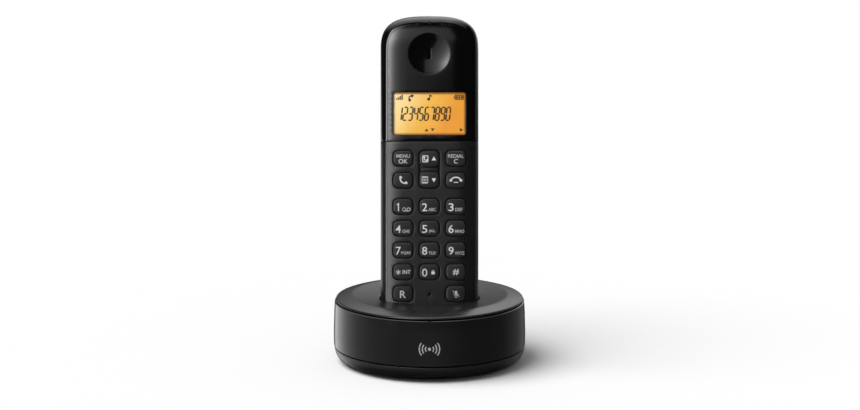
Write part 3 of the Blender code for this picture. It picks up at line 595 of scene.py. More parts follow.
class Nodes:
    """A short way to write a node material."""

    def __init__(self, name):
        self.material = bpy.data.materials.new(name)
        self.material.use_nodes = True
        self.tree = self.material.node_tree
        self.shader = self.tree.nodes["Principled BSDF"]
        self.coords = self.tree.nodes.new("ShaderNodeTexCoord").outputs["Object"]

    def link(self, a, b):
        self.tree.links.new(a, b)
        return b

    def reckon(self, operation, *values):
        return calculate(self.tree, operation, *values)

    def node(self, kind, inputs=(), **settings):
        made = self.tree.nodes.new(kind)
        for key, value in settings.items():
            setattr(made, key, value)
        for key, value in dict(inputs).items():
            if isinstance(value, bpy.types.NodeSocket):
                self.link(value, made.inputs[key])
            else:
                made.inputs[key].default_value = value
        return made

    def noise(self, scale, detail=2.0, roughness=0.5):
        inputs = {"Vector": self.coords, "Scale": scale, "Detail": detail, "Roughness": roughness}
        return self.node("ShaderNodeTexNoise", inputs).outputs["Fac"]

    def spread(self, value, low, high, start=0.3, end=0.7):
        """value from start to end, spread over low to high."""
        inputs = {"Value": value, "From Min": start, "From Max": end, "To Min": low, "To Max": high}
        return self.node("ShaderNodeMapRange", inputs).outputs["Result"]

    def mix(self, share, a, b):
        made = self.node("ShaderNodeMix", data_type="RGBA")
        for key, value in ((0, share), (6, a), (7, b)):
            if isinstance(value, bpy.types.NodeSocket):
                self.link(value, made.inputs[key])
            else:
                made.inputs[key].default_value = value if key == 0 else (*value, 1.0)
        return made.outputs[2]

    def bump(self, height, strength, distance):
        inputs = {"Height": height, "Strength": strength, "Distance": distance}
        return self.node("ShaderNodeBump", inputs).outputs["Normal"]

    def edges(self, start=0.52, end=0.62):
        """How far a place is along a worn, outward edge."""
        return self.spread(self.node("ShaderNodeNewGeometry").outputs["Pointiness"], 0.0, 1.0, start, end)


def plastic(name, colour, roughness, swing=0.03, grain=3500.0, grain_depth=0.02, wear=0.04):
    """Moulded plastic: a spark-eroded grain, uneven polish and paler edges."""
    n = Nodes(name)
    patches = n.noise(60.0, 3.0)
    fine = n.noise(grain, 2.0)
    base = n.mix(n.spread(patches, 0.0, 1.0), tuple(c * 0.9 for c in colour), tuple(c * 1.12 for c in colour))
    base = n.mix(n.reckon("MULTIPLY", n.edges(), wear), base, (0.35, 0.35, 0.36))
    n.link(base, n.shader.inputs["Base Color"])
    uneven = n.spread(n.noise(140.0, 4.0, 0.6), roughness - swing, roughness + swing)
    n.link(uneven, n.shader.inputs["Roughness"])
    n.link(n.bump(fine, 1.0, grain_depth * MM), n.shader.inputs["Normal"])
    return n.material


def metal(name, colour, roughness, scratches=900.0):
    n = Nodes(name)
    n.shader.inputs["Metallic"].default_value = 1.0
    streaks = n.node("ShaderNodeMapping", {"Vector": n.coords, "Scale": (1.0, 1.0, 0.08)}).outputs["Vector"]
    inputs = {"Vector": streaks, "Scale": scratches, "Detail": 3.0}
    lines = n.node("ShaderNodeTexNoise", inputs).outputs["Fac"]
    tint = n.mix(n.spread(n.noise(250.0), 0.0, 1.0), tuple(c * 0.8 for c in colour), colour)
    n.link(tint, n.shader.inputs["Base Color"])
    n.link(n.spread(lines, roughness - 0.08, roughness + 0.1), n.shader.inputs["Roughness"])
    n.link(n.bump(lines, 0.5, 0.01 * MM), n.shader.inputs["Normal"])
    return n.material


def amber_panel(name, width, height):
    """A backlit display: paler at its upper left, deeper at its lower right, dim along its border."""
    n = Nodes(name)
    axes = n.node("ShaderNodeSeparateXYZ", {"Vector": n.coords}).outputs
    slant = n.reckon("ADD", axes["X"], n.reckon("MULTIPLY", axes["Z"], -0.55))
    share = n.spread(slant, 0.0, 1.0, -0.5 * width, 0.45 * width)
    ramp = n.node("ShaderNodeValToRGB", {"Fac": share})
    stops = ramp.color_ramp
    stops.elements[0].color = (0.96, 0.71, 0.3, 1.0)
    stops.elements[1].position = 0.85
    stops.elements[1].color = (0.83, 0.33, 0.025, 1.0)
    middle = stops.elements.new(0.42)
    middle.color = (0.89, 0.48, 0.06, 1.0)
    border = []
    for axis, half in ((axes["X"], width / 2), (axes["Z"], height / 2)):
        border.append(n.spread(n.reckon("ABSOLUTE", axis), 1.0, 0.0, half - 0.9 * MM, half - 0.1 * MM))
    dim = n.reckon("MULTIPLY", n.reckon("MULTIPLY", *border), n.spread(n.noise(900.0), 0.97, 1.0))
    colour = n.mix(dim, (0.12, 0.03, 0.002), ramp.outputs["Color"])
    n.link(n.mix(dim, (0.01, 0.004, 0.001), (0.05, 0.03, 0.012)), n.shader.inputs["Base Color"])
    n.link(n.spread(n.noise(500.0), 0.3, 0.4), n.shader.inputs["Roughness"])
    n.link(colour, n.shader.inputs["Emission Color"])
    n.shader.inputs["Emission Strength"].default_value = 1.0
    return n.material


def clear_pane(name):
    n = Nodes(name)
    n.shader.inputs["Transmission Weight"].default_value = 1.0
    n.shader.inputs["IOR"].default_value = 1.3
    n.link(n.mix(n.spread(n.noise(120.0), 0.0, 1.0), (0.97, 0.97, 0.96), (1.0, 1.0, 1.0)),
           n.shader.inputs["Base Color"])
    n.link(n.spread(n.noise(300.0, 3.0), 0.0, 0.006), n.shader.inputs["Roughness"])
    return n.material


def printed(name, colour, roughness=0.5):
    """Ink with a faintly uneven coverage."""
    n = Nodes(name)
    n.link(n.mix(n.spread(n.noise(2500.0, 3.0), 0.0, 1.0), tuple(c * 0.86 for c in colour), colour),
           n.shader.inputs["Base Color"])
    n.link(n.spread(n.noise(1800.0), roughness - 0.08, roughness + 0.08), n.shader.inputs["Roughness"])
    n.link(n.bump(n.noise(4000.0), 0.4, 0.01 * MM), n.shader.inputs["Normal"])
    return n.material


def circuit(name):
    """Green solder mask over copper tracks."""
    n = Nodes(name)
    masks = {"Color1": (0.004, 0.05, 0.018, 1), "Color2": (0.005, 0.065, 0.024, 1)}
    masks["Mortar"] = (0.02, 0.14, 0.05, 1)
    bricks = n.node("ShaderNodeTexBrick", {"Vector": n.coords, "Scale": 180.0, "Mortar Size": 0.03, **masks})
    n.link(n.mix(n.spread(n.noise(400.0, 4.0), 0.0, 0.5), bricks.outputs["Color"], (0.003, 0.03, 0.012)),
           n.shader.inputs["Base Color"])
    n.link(n.spread(n.noise(700.0), 0.25, 0.45), n.shader.inputs["Roughness"])
    n.link(n.bump(bricks.outputs["Fac"], 0.6, 0.03 * MM), n.shader.inputs["Normal"])
    return n.material


GLOSS = plastic("gloss_black_cover", (0.0012, 0.0012, 0.0013), 0.08, 0.012, 900.0, 0.0008, wear=0.0)
SATIN = plastic("satin_charcoal_cover", (0.0065, 0.0065, 0.0067), 0.31, swing=0.03, grain_depth=0.012)
BASE_SATIN = plastic("satin_black_cover", (0.0065, 0.0065, 0.0067), 0.3, swing=0.03, grain_depth=0.01)
KEY = plastic("key_plastic", (0.0095, 0.0095, 0.0098), 0.3, swing=0.03, grain_depth=0.01)
DARK = plastic("dark_plastic", (0.012, 0.012, 0.012), 0.5, swing=0.05, grain_depth=0.02, wear=0.02)
RUBBER = plastic("foot_rubber", (0.02, 0.02, 0.02), 0.8, 0.08, 1500.0, 0.06, wear=0.03)
INK = printed("legend_ink", (0.8, 0.8, 0.8))
PALE_INK = printed("small_legend_ink", (0.55, 0.55, 0.55))
EMBLEM_INK = printed("emblem_ink", (0.42, 0.42, 0.42), 0.35)
LCD_INK = printed("display_ink", (0.012, 0.007, 0.002), 0.6)
PANE = clear_pane("display_pane")
GOLD = metal("gold_plating", (0.9, 0.7, 0.38), 0.25)
STEEL = metal("zinc_steel", (0.55, 0.55, 0.56), 0.32)
WRAP = plastic("cell_wrap_green", (0.05, 0.22, 0.09), 0.3, 0.06, 800.0, 0.01, wear=0.1)
BOARD = circuit("solder_mask")
CLOTH = plastic("speaker_felt", (0.01, 0.01, 0.01), 0.9, 0.05, 2500.0, 0.15, wear=0.0)


# ================================================================ the handset's surfaces
def shoulder_profile():
    """The front cover's section: a quarter of a superellipse up to the fold, then the crowned face."""
    half_x, half_y, power, steps = 4.05 * MM, 5.85 * MM, 2.1, 60
    points = []
    for i in range(steps + 1):
        angle = math.pi / 2 * i / steps
        x = half_x * (1 - math.cos(angle) ** (2 / power))
        y = FRONT_EDGE_Y - half_y * math.sin(angle) ** (2 / power)
        if x < FOLD_INSET:
            points.append((x, y))
    for i in range(steps + 1):
        inset = FOLD_INSET + (HALF_WIDTH - FOLD_INSET) * i / steps
        points.append((inset, crown(inset)))
    return softened_corner(points, 0.3 * MM)


def crown(inset):
    share = max(0.0, 1.0 - (inset - FOLD_INSET) / CROWN_WIDTH)
    return FACE_Y + CROWN_DEPTH * share**CROWN_POWER + FACE_BOW * (1 - inset / HALF_WIDTH) ** 2


def softened_corner(points, reach):
    """The curve with even points and its corners averaged over reach; its two ends stay."""
    points = np.array(points)
    run = along_curve(points)
    step = 0.05 * MM
    even = np.arange(0, run[-1], step)
    x, y = np.interp(even, run, points[:, 0]), np.interp(even, run, points[:, 1])
    reach = max(1, round(reach / step))
    padded_x = np.concatenate([2 * x[0] - x[reach:0:-1], x, 2 * x[-1] - x[-2:-reach - 2:-1]])
    padded_y = np.concatenate([2 * y[0] - y[reach:0:-1], y, 2 * y[-1] - y[-2:-reach - 2:-1]])
    kernel = np.ones(2 * reach + 1) / (2 * reach + 1)
    return np.stack([np.convolve(padded_x, kernel, "valid"), np.convolve(padded_y, kernel, "valid")], 1)


def back_profile():
    half_x, half_y, power, steps = 13.0 * MM, 14.5 * MM, 2.3, 120
    points = [(0.0, REAR_EDGE_Y)]
    for i in range(steps + 1):
        angle = math.pi / 2 * i / steps
        x, y = half_x * (1 - math.cos(angle) ** (2 / power)), half_y * (1 - math.sin(angle) ** (2 / power))
        points.append((x, BACK_Y - y))
    return np.array(points)


def rear_scale(z):
    middle = 60.0 * MM
    upper = 1.0 - 0.26 * (np.clip(z - middle, 0, None) / (LENGTH - middle)) ** 2
    return upper - 0.12 * (np.clip(middle - z, 0, None) / middle) ** 2


def ear_dish(x, z):
    """The earpiece's round hollow, with a slightly softened rim."""
    radius = np.hypot(x, z - EAR_Z)
    sphere = (EAR_RADIUS**2 + EAR_DEPTH**2) / (2 * EAR_DEPTH)
    bowl = np.sqrt(np.maximum(sphere**2 - radius**2, 0)) - (sphere - EAR_DEPTH)
    return 0.5 * (bowl + np.sqrt(bowl**2 + (0.045 * MM) ** 2))


def thumb_grip(x, z):
    """An oval hollow at the door's upper end, with three ribs for the thumb."""
    share = (x / (8.0 * MM)) ** 2 + ((z - 78.0 * MM) / (4.6 * MM)) ** 2
    hollow = np.clip(1 - share, 0, None) ** 0.7
    waves = np.clip(np.cos((z - 78.0 * MM) * 2 * math.pi / (2.3 * MM)), 0, None)
    ribs = 0.3 * waves * np.clip(1 - share, 0, 0.5) * 2
    return -(0.75 * hollow - ribs) * MM


FRONT = Skin(shoulder_profile(), FOLD_INSET, 1.0, top_stretch=1.2, fold=FOLD_INSET, relief=ear_dish)
REAR = Skin(back_profile(), 5.5 * MM, -1.0, scale=rear_scale)
DOOR = Skin(back_profile(), 5.5 * MM, -1.0, scale=rear_scale, relief=thumb_grip)

SHOULDER_RUN = FOLD_INSET + FRONT.extra
FRONT_RINGS = [0.18 * MM, *[SHOULDER_RUN * i / 16 for i in range(1, 17)], SHOULDER_RUN + 0.3 * MM,
               SHOULDER_RUN + 0.7 * MM]


KEY_CENTRES = {name: local_centre(name)[[0, 2]] for name in frame["nodes"] if name.startswith("key_")}


def face_guides(low_z, high_z, spacing=1.5 * MM):
    """Pattern points for the shoulders, in rings, and for the face, on a lattice."""
    points = [p for run in FRONT_RINGS for p in FRONT.outline(run)]
    edge = HALF_WIDTH - FOLD_INSET - 1.2 * MM
    return points + grid((-edge, low_z), (edge, high_z), spacing)


def split_line(line_z, spacing=1.1 * MM):
    """The pattern points across the front, from left to right, where the glossy and satin covers meet."""
    shoulder = [FRONT.half - run for run in FRONT_RINGS[1:]]
    face = HALF_WIDTH - FOLD_INSET - 1.2 * MM
    count = round(2 * face / spacing)
    across = [-FRONT.half, *[-x for x in shoulder], *[-face + 2 * face * i / count for i in range(count + 1)],
              *shoulder[::-1], FRONT.half]
    return [(x, line_z) for x in across]


def outline_above(line_z):
    loop = [p for p in FRONT.outline(0.0) if p[1] > line_z + 0.4 * MM]
    right = [p for p in loop if p[0] > 0 and p[1] < LENGTH - TOP_RISE]
    rest = [p for p in loop if not (p[0] > 0 and p[1] < LENGTH - TOP_RISE)]
    return right + rest


def outline_below(line_z):
    loop = [p for p in FRONT.outline(0.0) if p[1] < line_z - 0.4 * MM]
    left = [p for p in loop if p[0] < 0]
    right = [p for p in loop if p[0] >= 0]
    return left + right


HAIRLINE = 0.07 * MM  # half the joint between the two front covers


def front_upper():
    line_z = SPLIT_Z + HAIRLINE
    outer = outline_above(line_z) + split_line(line_z)
    low, high = local_box("display_window")
    window = rounded_rect(high[0] - low[0] + 0.6 * MM, high[2] - low[2] + 0.6 * MM, 1.2 * MM,
                          ((low[0] + high[0]) / 2, (low[2] + high[2]) / 2))
    slot = rounded_rect(1.25 * MM, 5.2 * MM, 0.6 * MM, (0.0, EAR_Z), 0.35 * MM)
    guides = face_guides(line_z, LENGTH)
    for radius in (1.5, 3.0, 4.5, 6.0, 7.5, 8.6, 9.3, 9.65, 9.85, 9.95, 10.05, 10.25, 10.6):
        guides += circle(radius * MM, (0.0, EAR_Z), 72)
    cover = panel("front_cover_gloss", FRONT, [Edge(outer), hole(window, rim=[(0.0, 1.5 * MM)]),
                                               hole(slot, rim=[(0.0, 2.2 * MM), (0.6 * MM, 2.2 * MM)])],
                  guides, GLOSS)
    settle(in_handset(cover), "handset", "gloss_black", "handset_front_upper")


def front_lower():
    line_z = SPLIT_Z - HAIRLINE
    outer = outline_below(line_z) + split_line(line_z)[::-1]
    wells = []
    for name, (x, z) in KEY_CENTRES.items():
        height = rocker_length() + 0.6 * MM if name == "key_rocker" else KEY_HEIGHT
        size = (KEY_WIDTH + 2 * KEY_GAP, height + 2 * KEY_GAP)
        wells.append(hole(rounded_rect(*size, KEY_CORNER + KEY_GAP, (x, z))))
    voice = (0.0, local_centre("microphone")[2])
    wells.append(hole(rounded_rect(1.5 * MM, 1.1 * MM, 0.5 * MM, voice, 0.4 * MM)))
    cover = panel("front_cover_satin", FRONT, [Edge(outer), *wells], face_guides(0.0, line_z), SATIN)
    settle(in_handset(cover), "handset", "satin_charcoal", "handset_front_lower")


def rocker_length():
    """From the top of the upper pad to the foot of the lower one; the CAD key has a flange beyond each."""
    low, high = local_box("key_rocker")
    return high[2] - low[2] - 2 * KEY_FLANGE


# ================================================================ the handset's other shells
class Plate(Surface):
    """A flat sheet at one depth of the handset's frame; side is +1 when it faces the user."""

    def __init__(self, y, side=1.0):
        self.y, self.side = y, side

    def place(self, flat):
        flat = np.asarray(flat, float)
        return np.stack([flat[:, 0], np.full(len(flat), self.y), flat[:, 1]], 1)


def end_point(x, y):
    """The rear pattern's point under a place on the handset's lower end."""
    run = float(np.interp(y, REAR.depth[1:], REAR.run[1:]))
    inset = float(np.interp(run, REAR.run, REAR.inset))
    wide = REAR.half - run
    flat_x = x * wide / (HALF_WIDTH - inset)
    return flat_x, TAIL_RISE - (REAR.tail - run) * (1 - abs(flat_x / wide) ** TAIL_POWER) ** (1 / TAIL_POWER)


def rear_shell():
    holes = [hole(rounded_rect(2 * DOOR_HALF, DOOR_HIGH - DOOR_LOW, 2.0 * MM, DOOR_MIDDLE))]
    for i in range(-2, 3):
        place = (0.0, 116.0 * MM + 2.6 * MM * i)
        holes.append(hole(rounded_rect(14.0 * MM, 1.2 * MM, 0.58 * MM, place, 0.7 * MM)))
    for side in (-1, 1):
        corners = [end_point(side * 12.0 * MM + dx, y) for dx, y in (
            (-2.4 * MM, -3.3 * MM), (2.4 * MM, -3.3 * MM), (2.4 * MM, 1.0 * MM), (-2.4 * MM, 1.0 * MM))]
        holes.append(hole(subdivided(corners, 0.6 * MM)))
    reach = REAR.run[-1]
    rings = [0.18 * MM, *[reach * i / 16 for i in range(1, 17)]]
    guides = [p for run in rings for p in REAR.outline(run)]
    guides += grid((-9.5 * MM, 12.0 * MM), (9.5 * MM, 148.0 * MM), 1.8 * MM)
    shell = panel("rear_shell", REAR, [Edge(REAR.outline(0.0)), *holes], guides, SATIN)
    settle(in_handset(shell), "handset", "satin_charcoal", "handset_rear_shell")


def battery_bay():
    """Under the door: the ledge that it rests on, the tray for the cells and the rib between them."""
    screw_holes = [hole(circle(1.15 * MM, (side * 15.7 * MM, 58.3 * MM), 20)) for side in (-1, 1)]
    outer = rounded_rect(39.4 * MM, 60.3 * MM, 2.0 * MM, DOOR_MIDDLE, 2.0 * MM)
    opening = rounded_rect(TRAY_WIDTH, TRAY_LENGTH, 0.8 * MM, TRAY_MIDDLE, 2.0 * MM)
    ledge = panel("door_ledge", Plate(7.3 * MM, -1.0), [Edge(outer), hole(opening), *screw_holes],
                  grid((-19.0 * MM, 29.0 * MM), (19.0 * MM, 88.0 * MM), 3.0 * MM), SATIN, thickness=1.1 * MM)
    settle(in_handset(ledge), "handset", "satin_charcoal", "handset_rear_shell")

    loops = []
    rim = ((1.1, -3.5), (1.1, 6.1), (0.95, 6.25), (0.15, 6.25), (0.0, 6.1), (0.0, -2.3), (-0.1, -2.4))
    for grow, y in rim:
        size = (TRAY_WIDTH + 2 * grow * MM, TRAY_LENGTH + 2 * grow * MM)
        outline = rounded_rect(*size, 1.3 * MM, TRAY_MIDDLE, 9 * MM)
        loops.append([(x, y * MM, z) for x, z in outline])
    tray = stack("battery_tray", loops, SATIN)
    settle(in_handset(tray), "handset", "satin_charcoal", "handset_rear_shell")
    outline = rounded_rect(0.8 * MM, 42.0 * MM, 0.39 * MM, TRAY_MIDDLE, 4 * MM)
    rib = rounded_slab("tray_rib", outline, facing_user, 1.2 * MM, 2.5 * MM, 0.2 * MM, SATIN)
    settle(in_handset(rib), "handset", "satin_charcoal", "handset_rear_shell")


def battery_door():
    size = (2 * (DOOR_HALF - DOOR_GAP), DOOR_HIGH - DOOR_LOW - 2 * DOOR_GAP)
    outer = rounded_rect(*size, 1.7 * MM, DOOR_MIDDLE)
    guides = grid((-9.0 * MM, 31.5 * MM), (9.0 * MM, 86.0 * MM), 0.55 * MM)
    guides = [p for p in guides if p[1] > 72.5 * MM]
    guides += grid((-9.0 * MM, 31.5 * MM), (9.0 * MM, 72.0 * MM), 1.8 * MM)
    guides += [(side * x * MM, z * MM) for side in (-1, 1) for x in (10, 11, 12, 13, 14, 15, 16)
               for z in range(32, 87, 2)]
    door = panel("battery_door_cover", DOOR, [Edge(outer)], guides, SATIN, thickness=1.4 * MM)
    settle(in_handset(door), "battery_door", "satin_charcoal", "battery_door")


def rounded_slab(name, outline, lay, low, high, edge, material, dish=0.0, under=0.0, smooth_angle=40.0):
    """A plate through an outline from height low to high with its upper rim rounded over edge.

    lay(point, height) places it; dish lowers the middle of its top; under rounds its lower rim as well."""
    rows = []
    if under:
        for step in range(4):
            angle = math.pi / 2 * step / 3
            rows.append((under * (1 - math.sin(angle)), low + under * (1 - math.cos(angle))))
    else:
        rows.append((0.0, low))
    for step in range(7):
        angle = math.pi / 2 * step / 6
        rows.append((edge * (1 - math.cos(angle)), high - edge * (1 - math.sin(angle))))
    if dish:
        reach = min(np.ptp(np.array(outline), axis=0)) / 2
        for share in (0.25, 0.5, 0.75):
            rows.append((edge + (reach * 0.8 - edge) * share, high - dish * math.sin(math.pi / 2 * share)))
    loops = []
    for inset, height in rows:
        loops.append([lay(p, height) for p in offset(outline, inset)])
    return stack(name, loops, material, smooth_angle)


def facing_user(point, height):
    return (point[0], -height, point[1])


# ================================================================ keys
def key_cap(name, x, z, width, height, top, body, corner=KEY_CORNER, flange=KEY_FLANGE):
    """A key's cap, standing on a wider flange behind the cover."""
    outline = rounded_rect(width, height, corner, (x, z), 0.9 * MM, 8)
    rows = [(-flange, 8.6 * MM), (-flange, 9.0 * MM), (-flange + 0.1 * MM, 9.1 * MM), (0.0, 9.1 * MM)]
    edge = 0.5 * MM
    for step in range(8):
        angle = math.pi / 2 * step / 7
        rows.append((edge * (1 - math.cos(angle)), top - edge * (1 - math.sin(angle))))
    if not flange:
        rows = rows[3:]
    cap = stack(name, [[facing_user(p, h) for p in offset(outline, inset)] for inset, h in rows], KEY)
    return settle(in_handset(cap), body, "key_charcoal")


def keypad():
    top = -KEY_TOP_Y
    for name, (x, z) in KEY_CENTRES.items():
        if name == "key_rocker":
            continue
        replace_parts(key_cap(name + "_cap", x, z, KEY_WIDTH, KEY_HEIGHT, top, name), name)
        if name == "key_5":
            outline = rounded_rect(1.9 * MM, 0.55 * MM, 0.27 * MM, (x, z - 2.75 * MM), 0.5 * MM)
            foot, crest = top - 0.1 * MM, top + 0.28 * MM
            bar = rounded_slab("key_5_bar", outline, facing_user, foot, crest, 0.2 * MM, KEY)
            settle(in_handset(bar), name, "key_charcoal")
    rocker, (x, z) = "key_rocker", KEY_CENTRES["key_rocker"]
    length = rocker_length()
    bridge = key_cap("key_rocker_bridge", x, z, KEY_WIDTH - 0.3 * MM, length - 0.3 * MM, 10.1 * MM, rocker)
    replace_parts(bridge, rocker)
    between = length - 2 * KEY_HEIGHT - 0.9 * MM
    width, sunk = KEY_WIDTH - 0.9 * MM, -FACE_Y - 0.1 * MM
    key_cap("key_rocker_middle", x, z, width, between, sunk, rocker, 0.3 * MM, 0.0)
    for word, sign in (("up", 1), ("down", -1)):
        pad_z = z + sign * (length - KEY_HEIGHT) / 2
        key_cap(f"key_rocker_pad_{word}", x, pad_z, KEY_WIDTH, KEY_HEIGHT, top, rocker, flange=0.0)


# ================================================================ printed legends
def text_shape(word, size, bold=0.0):
    """A word as flat triangles: points about its own middle, and faces."""
    curve = bpy.data.curves.new("legend", "FONT")
    curve.body = word
    curve.size = size
    curve.offset = bold
    curve.resolution_u = 4
    source = bpy.data.objects.new("legend_source", curve)
    SCENE.collection.objects.link(source)
    mesh = bpy.data.meshes.new_from_object(source.evaluated_get(bpy.context.evaluated_depsgraph_get()))
    bpy.data.objects.remove(source)
    points = [(v.co.x, v.co.y) for v in mesh.vertices]
    faces = [tuple(p.vertices) for p in mesh.polygons]
    bpy.data.meshes.remove(mesh)
    low, high = np.min(points, axis=0), np.max(points, axis=0)
    middle = (low + high) / 2
    return [(p[0] - middle[0], p[1] - middle[1]) for p in points], faces


def moved(shape, x, z, scale=1.0):
    points, faces = shape
    return [(px * scale + x, pz * scale + z) for px, pz in points], faces


def fitted(word, width, height, x, z, bold=0.0):
    """A word filling a box of that width and height about (x, z)."""
    points, faces = text_shape(word, 10 * MM, bold)
    low, high = np.min(points, axis=0), np.max(points, axis=0)
    wide, tall = width / (high[0] - low[0]), height / (high[1] - low[1])
    return [(px * wide + x, pz * tall + z) for px, pz in points], faces


def polygon(points):
    return list(points), [tuple(range(len(points)))]


def stroke(points, width, closed=False):
    """A line drawn with a pen of that width."""
    outer, inner = offset(points, width / 2, closed), offset(points, -width / 2, closed)
    count = len(points)
    made = [tuple(p) for p in outer] + [tuple(p) for p in inner]
    faces = []
    for i in range(count if closed else count - 1):
        j = (i + 1) % count
        faces.append((i, count + i, count + j, j))
    return made, faces


def arc(radius, centre, start, end, steps=20):
    made = []
    for i in range(steps + 1):
        angle = math.radians(start + (end - start) * i / steps)
        made.append((centre[0] + radius * math.cos(angle), centre[1] + radius * math.sin(angle)))
    return made


def print_on(name, shapes, lay, level, material, body, slot, below=0.03 * MM, above=0.02 * MM):
    """Flat shapes as one thin raised layer, from just under a level to just over it."""
    low, high = level - below, level + above
    bm = bmesh.new()
    for points, faces in shapes:
        flat = bmesh.new()
        verts = [flat.verts.new((p[0], p[1], 0.0)) for p in points]
        for face in faces:
            flat.faces.new([verts[i] for i in face])
        bmesh.ops.remove_doubles(flat, verts=flat.verts, dist=0.002 * MM)
        for f in flat.faces:
            f.normal_update()
            if f.normal.z < 0:
                f.normal_flip()
        flat.verts.index_update()
        top = [bm.verts.new(lay((v.co.x, v.co.y), high)) for v in flat.verts]
        bottom = [bm.verts.new(lay((v.co.x, v.co.y), low)) for v in flat.verts]
        for f in flat.faces:
            ring = [v.index for v in f.verts]
            bm.faces.new([top[i] for i in ring])
            bm.faces.new([bottom[i] for i in reversed(ring)])
        for e in flat.edges:
            if len(e.link_faces) == 1:
                a, b = (v.index for v in e.verts)
                bm.faces.new((top[a], top[b], bottom[b], bottom[a]))
        flat.free()
    bmesh.ops.recalc_face_normals(bm, faces=bm.faces)
    obj = new_object(name, bm, material, 20.0)
    return settle(obj, body, slot)


def handset_receiver(x, z, size, tilt, width):
    """A little telephone receiver: a bowed grip with two ends."""
    turn = math.radians(tilt)
    bow = arc(size * 0.75, (0.0, -size * 0.55), 35, 145, 12)
    grip = stroke(bow, width)
    ends = []
    for angle in (35, 145):
        a = math.radians(angle)
        cx, cz = size * 0.75 * math.cos(a), -size * 0.55 + size * 0.75 * math.sin(a)
        ends.append(moved(polygon(rounded_rect(width * 2.1, width * 1.7, width * 0.45, (0, 0), 1.0)),
                          cx, cz - width * 0.45))
    made = []
    for points, faces in (grip, *ends):
        c, s = math.cos(turn), math.sin(turn)
        made.append(([(px * c - pz * s + x, px * s + pz * c + z) for px, pz in points], faces))
    return made


def voicemail(x, z, size):
    """Two reels joined by a line."""
    r = size * 0.3
    shapes = [stroke(circle(r, (x + side * size * 0.42, z), 20), 0.22 * MM, True) for side in (-1, 1)]
    shapes.append(stroke([(x - size * 0.42, z - r), (x + size * 0.42, z - r)], 0.22 * MM))
    return shapes


def triangle(x, z, width, height):
    """Pointing up for a height above zero, and down below it."""
    corners = [(x - width / 2, z - height / 2), (x + width / 2, z - height / 2), (x, z + height / 2)]
    return polygon(corners if height > 0 else [corners[0], corners[2], corners[1]])


def legends():
    """Every key's print. Large figures stand on the left and letters at the lower right."""
    letters = {"key_2": ("ABC", -0.5, 3.1), "key_3": ("DEF", -0.3, 3.1), "key_4": ("GHI", -0.4, 2.9),
               "key_5": ("JKL", -0.4, 2.8), "key_6": ("MNO", -0.4, 4.0), "key_7": ("PQRS", -0.9, 3.6),
               "key_8": ("TUV", -0.4, 3.1), "key_9": ("WXYZ", -0.5, 4.1)}
    bright = {name: [] for name in KEY_CENTRES}
    pale = {name: [] for name in KEY_CENTRES}
    bright["key_1"].append(stroke(in_metres([(-2.95, 0.75), (-2.2, 1.35), (-2.2, -2.2)]), 0.5 * MM))
    for sign in "234567890":
        bright["key_" + sign].append(fitted(sign, 2.45 * MM, 3.75 * MM, -2.3 * MM, -0.3 * MM, 0.04 * MM))
    for name, (word, left, right) in letters.items():
        middle = (left + right) / 2 * MM
        pale[name].append(fitted(word, (right - left) * MM, 1.55 * MM, middle, -1.4 * MM, 0.12 * MM))
    bright["key_1"] += voicemail(1.6 * MM, -1.35 * MM, 2.6 * MM)
    pairs = {"key_menu": ("MENU", 6.5, "OK", 4.3), "key_redial": ("REDIAL", 7.5, "C", 1.9)}
    for name, (upper, wide, lower, narrow) in pairs.items():
        pale[name].append(fitted(upper, wide * MM, 1.7 * MM, 0.0, 1.1 * MM, 0.1 * MM))
        bright[name].append(fitted(lower, narrow * MM, 2.07 * MM, 0.0, -1.4 * MM))
    bright["key_talk"] += handset_receiver(-0.3 * MM, -0.3 * MM, 3.0 * MM, 135.0, 0.62 * MM)
    bright["key_end"] += handset_receiver(0.0, 0.7 * MM, 3.9 * MM, 0.0, 0.6 * MM)
    bright["key_end"].append(polygon(rounded_rect(2.0 * MM, 0.4 * MM, 0.1 * MM, (0.0, -0.95 * MM), 1.0)))
    x, z, reach = -2.3 * MM, -0.15 * MM, 1.25 * MM
    for turn in (30, 90, 150):
        dx, dz = reach * math.cos(math.radians(turn)), reach * math.sin(math.radians(turn))
        bright["key_star"].append(stroke([(x - dx, z - dz), (x + dx, z + dz)], 0.36 * MM))
    bright["key_star"].append(fitted("INT", 3.8 * MM, 1.85 * MM, 1.65 * MM, 0.0, 0.1 * MM))
    bright["key_0"] += padlock(1.7 * MM, 0.0, 1.1)
    bright["key_hash"].append(fitted("#", 3.0 * MM, 2.95 * MM, 0.0, -0.1 * MM, 0.08 * MM))
    bright["key_recall"].append(fitted("R", 2.8 * MM, 3.5 * MM, -0.1 * MM, -0.3 * MM, 0.1 * MM))
    bright["key_mute"] += struck_microphone(0.1 * MM, -0.1 * MM)
    bright["key_rocker"] = rocker_signs()
    for group, material, kind in ((bright, INK, "key_legend"), (pale, PALE_INK, "small_legend")):
        for name, shapes in group.items():
            if shapes:
                here = [moved(shape, *KEY_CENTRES[name]) for shape in shapes]
                print_on(f"{name}_{kind}", here, lay_on_handset, -KEY_TOP_Y, material, name, "key_charcoal")


def lay_on_handset(point, height):
    return HANDSET @ Vector((point[0], -height, point[1]))


def padlock(x, z, scale):
    body = rounded_rect(1.5 * MM * scale, 1.2 * MM * scale, 0.15 * MM, (x, z - 0.45 * MM), 1.0)
    return [polygon(body), stroke(arc(0.48 * MM * scale, (x, z + 0.2 * MM), 0, 180, 12), 0.2 * MM)]


